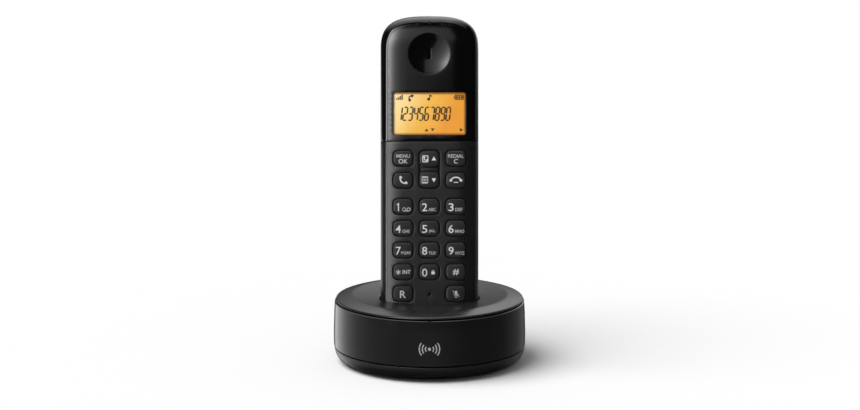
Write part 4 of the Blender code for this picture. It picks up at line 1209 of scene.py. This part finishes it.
def struck_microphone(x, z):
    """A microphone crossed out."""
    lines = [[(0.0, -0.85), (0.0, -1.55)], [(-0.7, -1.55), (0.7, -1.55)], [(-1.6, 1.5), (1.6, -1.3)]]
    lines = [in_metres(line) for line in lines]
    return [polygon(rounded_rect(1.1 * MM, 2.0 * MM, 0.54 * MM, (x, z + 0.5 * MM), 0.5 * MM)),
            stroke(arc(1.05 * MM, (x, z + 0.2 * MM), 180, 360, 16), 0.24 * MM),
            *[moved(stroke(line, 0.24 * MM), x, z) for line in lines]]


def rocker_signs():
    """A contact book and a pointer above, a call list and a pointer below."""
    up = (rocker_length() - KEY_HEIGHT) / 2
    down = -up
    shapes = [triangle(2.1 * MM, up + 0.2 * MM, 2.1 * MM, 1.9 * MM),
              triangle(2.1 * MM, down - 0.2 * MM, 2.1 * MM, -1.9 * MM),
              stroke(rounded_rect(2.5 * MM, 2.9 * MM, 0.4 * MM, (-2.0 * MM, up), 1.0), 0.42 * MM, True),
              *handset_receiver(-2.1 * MM, up - 0.2 * MM, 1.5 * MM, 135.0, 0.42 * MM)]
    for dz in (-1.1 * MM, 0.0, 1.1 * MM):
        shapes.append(stroke([(-3.2 * MM, down + dz), (-1.3 * MM, down + dz)], 0.36 * MM))
    shapes.append(stroke(rounded_rect(2.7 * MM, 3.1 * MM, 0.3 * MM, (-2.2 * MM, down), 1.0), 0.25 * MM, True))
    return shapes


# ================================================================ display
def display():
    middle_z = local_centre("display_window")[2]
    low, high = local_box("display_window")
    width, height = high[0] - low[0], high[2] - low[2]
    outline = rounded_rect(width, height, 1.0 * MM, (0.0, middle_z))
    guides = grid((-width / 2, middle_z - height / 2), (width / 2, middle_z + height / 2), 1.6 * MM)
    pane = panel("window_pane", FRONT, [Edge(outline)], guides, PANE, thickness=1.1 * MM, lip=0.15 * MM)
    settle(in_handset(pane), "handset", "window", "display_window")

    low, high = local_box("display_panel")
    centre = (low + high) / 2
    outline = rounded_rect(high[0] - low[0], high[2] - low[2], 0.6 * MM, (0, 0), 3 * MM)
    glass = rounded_slab("display_glass", outline, facing_user, -0.55 * MM, 0.55 * MM, 0.2 * MM,
                         amber_panel("amber_backlight", width, height))
    glass.matrix_world = on_handset((centre[0], centre[1], middle_z))
    settle(glass, "handset", "amber_display", "display_panel")
    display_signs(-low[1])


SEGMENTS = {"0": "abcdef", "1": "bc", "2": "abged", "3": "abgcd", "4": "fgbc", "5": "afgcd", "6": "afgedc",
            "7": "abc", "8": "abcdefg", "9": "gfabcd"}


def figure(sign, x, z, width, height, slant=0.12, pen=0.72 * MM):
    """A seven-segment figure, leaning to the right."""
    w, h = width / 2, height / 2
    ends = {"a": ((-w, h), (w, h)), "b": ((w, h), (w, 0)), "c": ((w, 0), (w, -h)), "d": ((-w, -h), (w, -h)),
            "e": ((-w, 0), (-w, -h)), "f": ((-w, h), (-w, 0)), "g": ((-w, 0), (w, 0))}
    shapes = []
    for segment in SEGMENTS[sign]:
        (x1, z1), (x2, z2) = ends[segment]
        length = math.hypot(x2 - x1, z2 - z1)
        ux, uz = (x2 - x1) / length, (z2 - z1) / length
        start, end = pen * 0.08, length - pen * 0.08
        points = []
        for along, across in ((start, 0), (start + pen / 2, -0.5), (end - pen / 2, -0.5), (end, 0),
                              (end - pen / 2, 0.5), (start + pen / 2, 0.5)):
            px = x1 + ux * along - uz * across * pen
            pz = z1 + uz * along + ux * across * pen
            points.append((x + px + pz * slant, z + pz))
        shapes.append(polygon(points))
    return shapes


def display_signs(front):
    """Signal bars, a receiver with an arrow, a note, a battery, ten figures and small pointers."""
    centre_z = local_centre("display_window")[2]
    top_z, row_z, low_z = centre_z + 7.9 * MM, centre_z, centre_z - 7.7 * MM
    shapes = []
    for i in range(4):
        tall = (0.8 + 0.55 * i) * MM
        place = (-15.6 * MM + i * 0.85 * MM, top_z - 1.2 * MM + tall / 2)
        shapes.append(polygon(rounded_rect(0.62 * MM, tall, 0.05 * MM, place, 9)))
    shapes += handset_receiver(-9.3 * MM, top_z - 0.1 * MM, 1.9 * MM, 60.0, 0.62 * MM)
    shapes += [stroke([(0.1 * MM, top_z - 0.9 * MM), (0.1 * MM, top_z + 1.1 * MM)], 0.45 * MM),
               polygon(circle(0.7 * MM, (-0.4 * MM, top_z - 0.9 * MM), 16)),
               stroke([(0.0, top_z + 1.1 * MM), (1.3 * MM, top_z + 0.4 * MM)], 0.6 * MM)]
    shapes += [stroke(rounded_rect(3.9 * MM, 1.9 * MM, 0.25 * MM, (14.2 * MM, top_z), 9), 0.45 * MM, True),
               polygon(rounded_rect(0.5 * MM, 0.9 * MM, 0.1 * MM, (11.9 * MM, top_z), 9))]
    shapes += [polygon(rounded_rect(0.85 * MM, 1.15 * MM, 0.08 * MM, (13.1 * MM + i * 1.15 * MM, top_z), 9))
               for i in range(3)]
    for i, sign in enumerate("1234567890"):
        shapes += figure(sign, (-14.15 + 2.57 * i) * MM, row_z, 1.75 * MM, 6.2 * MM)
    shapes += [triangle(-1.4 * MM, low_z, 1.9 * MM, 1.4 * MM), triangle(1.5 * MM, low_z, 1.9 * MM, -1.4 * MM),
               polygon([(14.5 * MM, low_z - 0.95 * MM), (16.1 * MM, low_z), (14.5 * MM, low_z + 0.95 * MM)])]
    print_on("display_signs", shapes, lay_on_handset, front + 0.01 * MM, LCD_INK, "handset", "amber_display")


# ================================================================ batteries and what holds them
def battery_cell(name):
    """One cell, with its nub towards the top of the handset on the left and down on the right."""
    low, high = local_box(f"battery_{name}")
    x, y = local_centre(f"battery_{name}")[:2]
    if name == "right":
        matrix = on_handset((x, y, low[2])) @ Matrix.Rotation(math.pi, 4, "X")
    else:
        matrix = on_handset((x, y, high[2]))
    end = (low[2] - high[2]) / MM
    nub = [(0, 0), (1.6, 0), (1.85, -0.2), (1.9, -0.9), (4.3, -1.0), (4.6, -1.25), (4.6, -1.6), (0, -1.6)]
    wrap = [(0, -1.2), (3.4, -1.2), (4.7, -0.95), (5.05, -1.05), (5.2, -1.4), (5.2, -2.6), (5.02, -2.85),
            (5.02, -3.1), (5.2, -3.35), (5.2, end + 0.5), (5.1, end + 0.12), (4.6, end + 0.03),
            (4.2, end + 0.15), (0, end + 0.15)]
    foot = [(0, end + 0.6), (4.1, end + 0.6), (4.1, end + 0.1), (3.6, end), (0, end)]
    parts = {"terminal": (nub, STEEL, "steel"), "wrap": (wrap, WRAP, "cell_wrap"),
             "foot": (foot, STEEL, "steel")}
    for part, (points, material, slot) in parts.items():
        solid = turned(f"battery_{name}_{part}", points, material, matrix, 40)
        settle(solid, "handset", slot, f"battery_{name}")


def battery_plate(name):
    node = f"battery_plate_{name}"
    low, high = local_box(node)
    outline = rounded_rect(high[0] - low[0], high[1] - low[1], 0.8 * MM, local_centre(node)[:2], 3 * MM)
    plate = rounded_slab(f"battery_contact_{name}", outline, lambda p, h: (*p, h), low[2], high[2], 0.15 * MM,
                         GOLD, under=0.15 * MM)
    settle(in_handset(plate), "handset", "plated_contact", node)


def battery_spring(name):
    """A tapering coil, wide where it stands."""
    node = f"battery_spring_{name}"
    low, high = local_box(node)
    x, y = local_centre(node)[:2]
    turns, steps = 4, 20
    points = []
    for i in range(turns * steps + 1):
        share = i / (turns * steps)
        radius = 2.0 * MM + 1.6 * MM * (share if name == "right" else 1 - share)
        angle = 2 * math.pi * i / steps
        points.append((x + radius * math.cos(angle), y + radius * math.sin(angle),
                       low[2] + 0.35 * MM + (high[2] - low[2] - 0.7 * MM) * share))
    spring = tube(f"battery_coil_{name}", points, 0.28 * MM, STEEL, 8, HANDSET)
    settle(spring, "handset", "steel", node)


def cross_screw(name, node, head, shank, matrix, body):
    """A pan-head screw with a cross-shaped recess; its head's underside is at zero and faces down.

    head is its radius and height, and shank its radius and length, all in mm."""
    head_radius, head_height = in_metres([head])[0]
    outline = circle(head_radius, (0, 0), 40)
    cross = []
    wide, long = head_radius * 0.14, head_radius * 0.62
    for quarter in range(4):
        a = math.pi / 2 * quarter
        for px, pz in ((long, -wide), (long, wide), (wide * 1.3, wide * 1.3)):
            cross.append((px * math.cos(a) - pz * math.sin(a), px * math.sin(a) + pz * math.cos(a)))
    edges = [Edge(outline), hole(cross, rim=[(0.0, head_height * 0.8)])]
    cap = panel(name + "_head", Dome(head_radius, head_height), edges,
                [p for share in (0.45, 0.7, 0.85, 0.95) for p in circle(head_radius * share, (0, 0), 32)],
                STEEL, thickness=head_height * 0.85, lip=0.05 * MM, clear=0.12 * MM)
    cap.matrix_world = matrix
    settle(cap, body, "steel", node)
    (wide, tall), (radius, length) = head, shank
    points = [(0, tall * 0.25), (wide * 0.8, tall * 0.25), (wide * 0.8, 0.02), (radius, 0)]
    turns = 8
    for i in range(turns):
        z = -length * (i + 0.5) / (turns + 1)
        points += [(radius, z), (radius * 0.78, z - length / (turns + 1) * 0.5)]
    points += [(radius * 0.7, -length * 0.95), (0, -length)]
    settle(turned(name + "_shank", points, STEEL, matrix, 24), body, "steel", node)


class Dome(Surface):
    """A shallow round head."""

    def __init__(self, radius, height):
        self.radius, self.height = radius, height

    def place(self, flat):
        flat = np.asarray(flat, float)
        share = np.minimum(1.0, (flat**2).sum(1) / self.radius**2)
        return np.stack([flat[:, 0], flat[:, 1], self.height * (0.62 + 0.38 * np.sqrt(1 - share))], 1)


TO_REAR = Matrix.Rotation(-math.pi / 2, 4, "X")  # turns a piece's axis from up to backwards


def handset_screws():
    for name in ("left", "right"):
        node = f"handset_screw_{name}"
        x, _, z = local_centre(node)
        matrix = on_handset((x, local_box(node)[1][1] - 0.9 * MM, z)) @ TO_REAR
        cross_screw(f"case_screw_{name}", node, (2.0, 0.9), (1.0, 5.9), matrix, "handset")


# ================================================================ the base
def dish_height(radius):
    return DISH_Z + (CREST_Z - DISH_Z) * (radius / CREST_RADIUS) ** 2


def top_profile():
    """From the middle of the dish over the crest and down the shoulder to the edge."""
    points = [(r * MM, dish_height(r * MM)) for r in np.arange(0.0, 36.9, 0.6)]
    points += in_metres([(37.6, 32.74), (39.0, 32.62), (41.0, 32.25), (43.0, 31.72), (44.3, 31.36),
                         (44.95, 31.15), (45.12, 30.98), (45.14, 30.3)])
    return softened_corner(points, 0.2 * MM)


def band_profile():
    """Up the wall from the seam, and in under the top cover's edge."""
    points = in_metres([(46.4, 14), (46.1, 24), (45.76, 29.6), (45.6, 29.75), (45.2, 29.77), (43.8, 29.78)])
    return softened_corner([(46.3 * MM, SEAM_Z + 0.5 * MM), *points], 0.1 * MM)


def bottom_profile():
    """From the middle of the underside, round its corner and up to the seam."""
    points = in_metres([(0.0, 0.8), (40.2, 0.8), (42.3, 1.15), (44.3, 2.5), (45.5, 4.4), (46.0, 6.3)])
    return softened_corner([*points, (46.1 * MM, SEAM_Z - 0.1 * MM)], 0.9 * MM)


TOP = Lathe(top_profile(), 1.0)
BAND = Band(band_profile(), 46.4 * MM)
BOTTOM = Lathe(bottom_profile(), -1.0)


def pocket_outline(grow=0.0):
    """The handset's cross-section near its lower end with the pocket's clearance, anticlockwise in (x, y)."""
    front = np.stack([HALF_WIDTH - FRONT.inset[1:], FRONT.depth[1:]], 1)
    back_y = REAR_EDGE_Y + (REAR.depth[1:] - REAR_EDGE_Y) * rear_scale(21 * MM)
    back = np.stack([HALF_WIDTH - REAR.inset[1:], back_y], 1)
    right = np.concatenate([front[::-1], back])
    run = along_curve(right)
    even = np.linspace(0, run[-1], 64)
    right = np.stack([np.interp(even, run, right[:, 0]), np.interp(even, run, right[:, 1])], 1)
    half = [tuple(p) for p in right]
    across_front = subdivided([(0.0, half[0][1]), half[0]], 1.2 * MM, closed=False)[:-1]
    across_back = subdivided([half[-1], (0.0, half[-1][1])], 1.2 * MM, closed=False)[1:]
    side = across_front + half + across_back
    ring = side + [(-x, y) for x, y in side[-2:0:-1]]
    return offset(ring, -(POCKET_CLEARANCE + grow))


def lean_to_height(x, y, height_of):
    """Where the line along the handset through (x, y) meets a height that may depend on the place."""
    along = 20 * MM
    for _ in range(30):
        point = HANDSET @ Vector((x, y, along))
        along -= (point.z - height_of(math.hypot(point.x, point.y))) / math.cos(LEAN)
    return HANDSET @ Vector((x, y, along))


def round_edge(surface):
    """The outer edge of a turned cover."""
    return Edge([(surface.run[-1] * math.cos(a), surface.run[-1] * math.sin(a))
                 for a in np.linspace(0, 2 * math.pi, 181)[:-1]])


def round_guides(surface, radii, spacing, rings):
    """Pattern points in circles, and in finer rings at distances from the edge, all in mm."""
    guides = []
    for radius in radii:
        guides += circle(radius * MM, (0, 0), max(12, round(2 * math.pi * radius / spacing)))
    for back_off in rings:
        guides += circle(surface.run[-1] - back_off * MM, (0, 0), 180)
    return guides


FLOOR_ALONG = -0.3 * MM
POCKET_SKIN = 1.4 * MM


def base_top():
    mouth = [lean_to_height(x, y, TOP.height) for x, y in pocket_outline()]
    mouth_flat = [TOP.flat_at(p.x, p.y) for p in mouth]

    def wall_rows(lip_rows):
        rows = []
        for distance, depth in lip_rows:
            line = offset(mouth_flat, -distance)
            rows.append(TOP.place(line) - TOP.normals(line) * depth)
        top, end = rows[LIP_STEPS - 1], FLOOR_ALONG - 0.9 * MM
        bottom, outer = (np.array([HANDSET @ Vector((x, y, end)) for x, y in pocket_outline(grow)])
                         for grow in (0.0, POCKET_SKIN))
        rows += [top + (bottom - top) * share for share in (0.25, 0.5, 0.75, 1.0)]
        return [*rows, outer]

    hole_edge = hole(mouth_flat, rows=wall_rows, under=POCKET_SKIN)
    rings = (0.5, 1.0, 1.5, 2.2, 3.0, 4.0, 5.0, 6.0, 6.6, 7.2, 7.8, 8.4, 9.0, 9.8)
    guides = round_guides(TOP, np.arange(3.0, TOP.run[-1] / MM - 10.5, 2.0), 2.0, rings)
    cover = panel("top_cover", TOP, [round_edge(TOP), hole_edge], guides, BASE_SATIN, 1.3 * MM, lip=0.12 * MM)
    settle(cover, "base", "satin_black", "base_top_cover")

    slots = [hole(rounded_rect(4.2 * MM, 4.4 * MM, 0.4 * MM, (side * 12.0 * MM, 1.2 * MM), 1.0 * MM))
             for side in (-1, 1)]
    ring = [(p[0], -p[1]) for p in pocket_outline(-0.03 * MM)][::-1]
    guides = grid((-21 * MM, -10 * MM), (21 * MM, 10 * MM), 2.0 * MM)
    floor = panel("pocket_floor", Across(FLOOR_ALONG), [Edge(ring), *slots], guides, BASE_SATIN, 0.9 * MM,
                  lip=0.1 * MM)
    settle(in_handset(floor), "base", "satin_black", "base_top_cover")
    profile = [(0, 7.6), (2.8, 7.6), (2.8, 8.2), (2.6, 24.0), (3.2, 27.8), (0, 27.8)]
    for i in (1, 2, 3):
        post = turned(f"cover_post_{i}", profile, BASE_SATIN, under(f"base_screw_{i}"))
        settle(post, "base", "satin_black", "base_top_cover")


class Across(Surface):
    """A flat sheet square to the handset's length, seen from above; the pattern is (x, -y)."""

    side = 1.0

    def __init__(self, z):
        self.z = z

    def place(self, flat):
        flat = np.asarray(flat, float)
        return np.stack([flat[:, 0], -flat[:, 1], np.full(len(flat), self.z)], 1)

    def normals(self, flat):
        return np.tile([0.0, 0.0, 1.0], (len(flat), 1))


def under(node, z=0.0):
    """A matrix that moves a piece to a height straight under or over a node's middle."""
    x, y = centre_of(node)[:2]
    return Matrix.Translation((x, y, z))


def base_band():
    half = math.pi * BAND.radius
    count = 240
    across = [-half + 2 * half * i / count for i in range(count + 1)]
    top = BAND.run[-1]
    edges = [Edge([(s, 0.0) for s in across], False), Edge([(s, top) for s in across[::-1]], False)]
    grow = 0.3 * MM
    for node in ("line_socket", "power_socket"):
        low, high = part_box(node)
        middle = centre_of(node)[0::2]
        outline = rounded_rect(high[0] - low[0] + 2 * grow, high[2] - low[2] + 2 * grow, 0.6 * MM, middle)
        edges.append(hole([BAND.flat_at(x, z) for x, z in outline]))
    outline = circle(3.25 * MM, centre_of("page_button")[0::2], 40)
    edges.append(hole([BAND.flat_at(x, z) for x, z in outline]))
    levels = [0.5, 1.5, 3, 5, 7, 9, 11, 13, 15, 17, 18.5, 19.5, 20.2, 20.8, 21.3, 21.8]
    levels += [22.3, 22.8, 23.3, 23.8]
    guides = [(s, level * MM) for level in levels if level * MM < top - 0.3 * MM for s in across[1:-1]]
    band = panel("side_band", BAND, edges, guides, GLOSS, 1.8 * MM, lip=0.15 * MM, seam=1.0 * MM)
    settle(band, "base", "gloss_black", "base_side_band")


def base_bottom():
    holes = [hole(circle(4.55 * MM, centre_of(f"foot_{i}")[:2], 40)) for i in range(1, 5)]
    holes += [hole(circle(2.75 * MM, centre_of(f"base_screw_{i}")[:2], 32)) for i in (1, 2, 3)]
    for i in range(-3, 4):
        middle = (0.0, (-18.0 + 2.8 * (i + 0.5)) * MM)
        holes.append(hole(rounded_rect(14.0 * MM, 1.3 * MM, 0.6 * MM, middle, 1.0 * MM)))
    rings = (0.5, 1.0, 1.6, 2.2, 2.9, 3.6, 4.3, 5.0, 5.8, 6.6, 7.4, 8.2, 9.0, 10.0, 11.0, 12.0)
    guides = round_guides(BOTTOM, range(3, 36, 3), 3.0, rings)
    edges = [round_edge(BOTTOM), *holes]
    tray = panel("bottom_tray", BOTTOM, edges, guides, BASE_SATIN, 1.7 * MM, lip=0.12 * MM)
    settle(tray, "base", "satin_black", "base_bottom_tray")
    seat_profile = [(0, 1.15), (5.2, 1.15), (5.2, 2.7), (0, 2.7)]
    foot_profile = [(0, 0), (3.6, 0.0), (4.1, 0.12), (4.35, 0.45), (4.4, 1.1), (0, 1.1)]
    for i in range(1, 5):
        node = f"foot_{i}"
        seat = turned(f"foot_seat_{i}", seat_profile, BASE_SATIN, under(node))
        settle(seat, "base", "satin_black", "base_bottom_tray")
        settle(turned(f"rubber_foot_{i}", foot_profile, RUBBER, under(node), 40), "base", "rubber", node)
    post_profile = [(2.75, 2.3), (3.5, 2.3), (3.5, 7.3), (1.25, 7.3), (1.25, 3.3), (2.75, 3.3)]
    for i in (1, 2, 3):
        node = f"base_screw_{i}"
        post = turned(f"tray_post_{i}", post_profile, BASE_SATIN, under(node))
        settle(post, "base", "satin_black", "base_bottom_tray")
        low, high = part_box(node)
        matrix = under(node, low[2] + 1.35 * MM) @ Matrix.Rotation(math.pi, 4, "X")
        length = (high[2] - low[2]) / MM - 1.4
        cross_screw(f"tray_screw_{i}", node, (2.35, 1.3), (1.15, length), matrix, "base")


def rear_fittings():
    """The page button, the two sockets and what shows inside them."""
    x, _, z = centre_of("page_button")
    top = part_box("page_button")[1][1] / MM
    points = [(0, -0.35), (1.2, -0.3), (2.0, -0.12), (2.35, 0), (2.7, -0.12), (2.95, -0.45), (3.0, -1.0),
              (3.0, -3.4), (3.8, -3.4), (3.8, -4.1), (1.6, -4.1), (1.6, -5.6), (0, -5.6)]
    points = [(radius, top + depth) for radius, depth in points]
    button = turned("finder_button", points, GLOSS, Matrix.Translation((x, 0, z)) @ TO_REAR, 48)
    settle(button, "page_button", "gloss_black", "page_button")
    for node in ("line_socket", "power_socket"):
        settle(softened(node + "_body", node, DARK, 0.25 * MM), "base", "socket_black", node)
    x, face, high_z = centre_of("line_socket")[0], *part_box("line_socket")[1][1:]
    bends = in_metres([(-11.3, -2.6), (-3.2, -2.7), (-2.6, -3.0), (-2.9, -3.5), (-10.6, -6.6)])
    for i in range(4):
        path = [(x + (i - 1.5) * 1.02 * MM, face + y, high_z + z) for y, z in bends]
        settle(tube(f"line_wire_{i + 1}", path, 0.2 * MM, GOLD, 6), "base", "plated_contact")
    x, _, z = centre_of("power_socket")
    matrix = Matrix.Translation((x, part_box("power_socket")[1][1], z)) @ TO_REAR
    pin = [(0, -9.6), (0.85, -9.6), (0.85, -1.4), (0.6, -0.85), (0, -0.7)]
    settle(turned("power_pin", pin, GOLD, matrix, 24), "base", "plated_contact")
    sleeve = [(2.62, -9.3), (2.88, -9.3), (2.88, -1.6), (2.75, -1.45), (2.62, -1.6)]
    settle(turned("power_sleeve", sleeve, STEEL, matrix), "base", "steel")


def small_contacts():
    for side in ("left", "right"):
        for name, node, body, bevel in (("cradle_spring_", "cradle_contact_", "cradle_contact_" + side, 0.08),
                                        ("charge_plate_", "handset_contact_", "handset", 0.1)):
            contact = softened(name + side, node + side, GOLD, bevel * MM)
            settle(contact, body, "plated_contact", node + side)


def emblem():
    """Three arcs on each side of a dot, the usual sign for a radio link."""
    centre = 16.7 * MM
    shapes = [polygon(circle(0.75 * MM, (0.0, centre), 28))]
    for radius in (1.9 * MM, 3.3 * MM, 4.7 * MM):
        for middle in (0, 180):
            shapes.append(stroke(arc(radius, (0.0, centre), middle - 38, middle + 38, 24), 0.55 * MM))

    def lay(point, height):
        flat = np.array([BAND.flat_at(point[0], point[1], front=True)])
        return (BAND.place(flat) + BAND.normals(flat) * height)[0]

    print_on("front_emblem", shapes, lay, 0.0, EMBLEM_INK, "base", "gloss_black", 0.04 * MM, 0.03 * MM)


def inner_nodes():
    """Finishes for the CAD nodes that keep their own shape, inside the covers."""
    finishes = {BOARD: ("base_circuit_board", "handset_circuit_board"), GOLD: ("base_aerial",),
                DARK: ("page_switch", "display_holder"), RUBBER: ("keypad_membrane",),
                CLOTH: ("earpiece_speaker", "ringer_speaker", "microphone")}
    for material, nodes in finishes.items():
        for node in nodes:
            slots = frame["nodes"][node].data.materials
            if not slots:
                slots.append(material)
            for i in range(len(slots)):
                slots[i] = material


# ================================================================ camera, floor and lights
def look_at(obj, place, target):
    obj.location = place
    obj.rotation_euler = (Vector(target) - Vector(place)).to_track_quat("-Z", "Y").to_euler()


def camera():
    """Square to the handset's face, as far off as the picture's perspective asks."""
    data = bpy.data.cameras.new("camera")
    data.lens, data.sensor_width = 78.9, 36.0
    data.clip_start, data.clip_end = 0.01, 100.0
    obj = bpy.data.objects.new("camera", data)
    SCENE.collection.objects.link(obj)
    aim = Vector((0.24 * MM, FACE_Y - 0.9, 67.95 * MM))
    obj.matrix_world = HANDSET @ Matrix.Translation(aim) @ Matrix.Rotation(math.pi / 2, 4, "X")
    SCENE.camera = obj


def ramp(tree, value, low, high, stops, scale):
    """A curve through (position, brightness) stops, positions given between low and high."""
    spread = tree.nodes.new("ShaderNodeMapRange")
    spread.inputs["From Min"].default_value, spread.inputs["From Max"].default_value = low, high
    tree.links.new(value, spread.inputs["Value"])
    node = tree.nodes.new("ShaderNodeValToRGB")
    elements = node.color_ramp.elements
    elements.remove(elements[-1])
    elements[0].position = 0.0
    for i, (position, level) in enumerate(stops):
        element = elements.new((position - low) / (high - low)) if i else elements[0]
        element.color = (level / scale, level / scale, level / scale, 1.0)
    tree.links.new(spread.outputs["Result"], node.inputs["Fac"])
    return calculate(tree, "MULTIPLY", node.outputs["Color"], scale)


# What gloss sees, as (degrees, brightness). LOW_ROUND is low down and LEVEL_ROUND level, by the angle to the
# left of the camera's side. OVER_TOP is by the angle up from the camera's side and over towards the back.
LOW_ROUND = [(-180, 0.03), (-165, 0.03), (-150, 0.25), (-117, 0.2), (-96, 0.13), (-57, 0.13), (-37, 0.17),
             (0, 0.32), (37, 0.3), (72, 0.42), (96, 0.6), (117, 1.0), (135, 1.5), (153, 1.5), (162, 0.3),
             (168, 0.03), (180, 0.03)]
LEVEL_ROUND = [(-180, 0.1), (-162, 1.0), (-146, 1.0), (-136, 0.1), (-122, 0.45), (-108, 0.1), (-80, 0.01),
               (-12, 0.02), (-2, 0.04), (-0.6, 0.24), (0, 0.33), (1.1, 0.55), (2, 0.64), (6, 0.72), (11, 1.0),
               (17, 1.5), (21.5, 2.4), (24, 3.4), (30, 7.0), (34.5, 10.5), (38, 9.5), (42, 4.0), (46, 0.4),
               (52, 0.04), (180, 0.04)]
OVER_TOP = [(0, 0.0), (55, 0.0), (60, 1.2), (72, 1.9), (82, 2.2), (92, 2.6), (110, 3.1), (130, 2.6),
            (150, 0.7), (163, 0.2), (180, 0.1)]

# Where each of the three reaches, by height in degrees, and OVER_TOP also by the share to the right.
LOW_HEIGHTS = [(-90, 0), (-40, 0.02), (-24, 1), (-8, 1), (-3, 0), (90, 0)]
LEVEL_HEIGHTS = [(-90, 0), (-6, 0), (-1, 1), (38, 1), (44, 0), (90, 0)]
TOP_HEIGHTS = [(-90, 0), (2, 0), (12, 1), (90, 1)]
DIFFUSE_SKY = 0.26
TOP_WIDTHS = [(-1, 0), (-0.8, 0), (-0.4, 0.7), (-0.12, 1), (0.12, 1), (0.35, 0.4), (0.6, 0), (1, 0)]


def mixed(tree, share, a, b):
    """One colour or the other, by a ray's kind; each is a socket or a grey level."""
    mix = tree.nodes.new("ShaderNodeMix")
    mix.data_type = "RGBA"
    tree.links.new(share, mix.inputs[0])
    for socket, value in ((mix.inputs[6], a), (mix.inputs[7], b)):
        if isinstance(value, bpy.types.NodeSocket):
            tree.links.new(value, socket)
        else:
            socket.default_value = (value, value, value, 1.0)
    return mix.outputs[2]


def studio_world():
    """Even white for the floor and for diffuse light, and drawn-out softboxes for what gloss reflects."""
    world = bpy.data.worlds.new("studio")
    world.use_nodes = True
    tree = world.node_tree
    way = tree.nodes.new("ShaderNodeSeparateXYZ")
    tree.links.new(tree.nodes.new("ShaderNodeTexCoord").outputs["Generated"], way.inputs[0])
    x, y, z = way.outputs
    left, front = calculate(tree, "MULTIPLY", x, -1.0), calculate(tree, "MULTIPLY", y, -1.0)
    around = calculate(tree, "DEGREES", calculate(tree, "ARCTAN2", left, front))
    over = calculate(tree, "DEGREES", calculate(tree, "ARCTAN2", z, front))
    height = calculate(tree, "DEGREES", calculate(tree, "ARCSINE", z))
    low, level, sky = (ramp(tree, height, -90, 90, stops, 1.0)
                       for stops in (LOW_HEIGHTS, LEVEL_HEIGHTS, TOP_HEIGHTS))
    raised = calculate(tree, "SUBTRACT", height, math.degrees(LEAN) + 4.5)
    slant = calculate(tree, "MINIMUM", calculate(tree, "MULTIPLY", raised, 0.65), 7.0)
    slanted = calculate(tree, "ADD", around, slant)
    top = calculate(tree, "MULTIPLY", ramp(tree, x, -1, 1, TOP_WIDTHS, 1.0), sky)
    seen = [calculate(tree, "MULTIPLY", ramp(tree, around, -180, 180, LOW_ROUND, 10.0), low),
            calculate(tree, "MULTIPLY", ramp(tree, slanted, -180, 180, LEVEL_ROUND, 12.0), level),
            calculate(tree, "MULTIPLY", ramp(tree, over, 0, 180, OVER_TOP, 10.0), top)]
    total = calculate(tree, "ADD", calculate(tree, "ADD", seen[0], seen[1]), seen[2])
    ray = tree.nodes.new("ShaderNodeLightPath").outputs
    shown = mixed(tree, ray["Is Glossy Ray"], 1.0, total)
    light = mixed(tree, ray["Is Diffuse Ray"], shown, DIFFUSE_SKY)
    tree.links.new(light, tree.nodes["Background"].inputs["Color"])
    SCENE.world = world


def studio():
    bm = bmesh.new()
    bmesh.ops.create_grid(bm, x_segments=1, y_segments=1, size=40.0)
    floor_material = bpy.data.materials.new("studio_floor")
    floor_material.use_nodes = True
    shader = floor_material.node_tree.nodes["Principled BSDF"]
    shader.inputs["Base Color"].default_value = (0.93, 0.93, 0.93, 1.0)
    shader.inputs["Roughness"].default_value = 0.9
    shader.inputs["Specular IOR Level"].default_value = 0.0
    floor = new_object("studio_floor", bm, floor_material)
    floor.visible_glossy = False
    studio_world()
    SCENE.view_settings.view_transform = "Standard"
    data = bpy.data.lights.new("large_soft_light", "SUN")
    data.energy, data.angle = 2.95, math.radians(50.0)
    sun = bpy.data.objects.new("large_soft_light", data)
    SCENE.collection.objects.link(sun)
    look_at(sun, (-0.55, -0.15, 0.95), (0.0, 0.0, 0.0))
    sun.visible_glossy = False


front_upper()
front_lower()
rear_shell()
battery_bay()
battery_door()
keypad()
legends()
display()
for side_name in ("left", "right"):
    battery_cell(side_name)
    battery_plate(side_name)
    battery_spring(side_name)
handset_screws()
small_contacts()
base_top()
base_band()
base_bottom()
rear_fittings()
emblem()
inner_nodes()
camera()
studio()
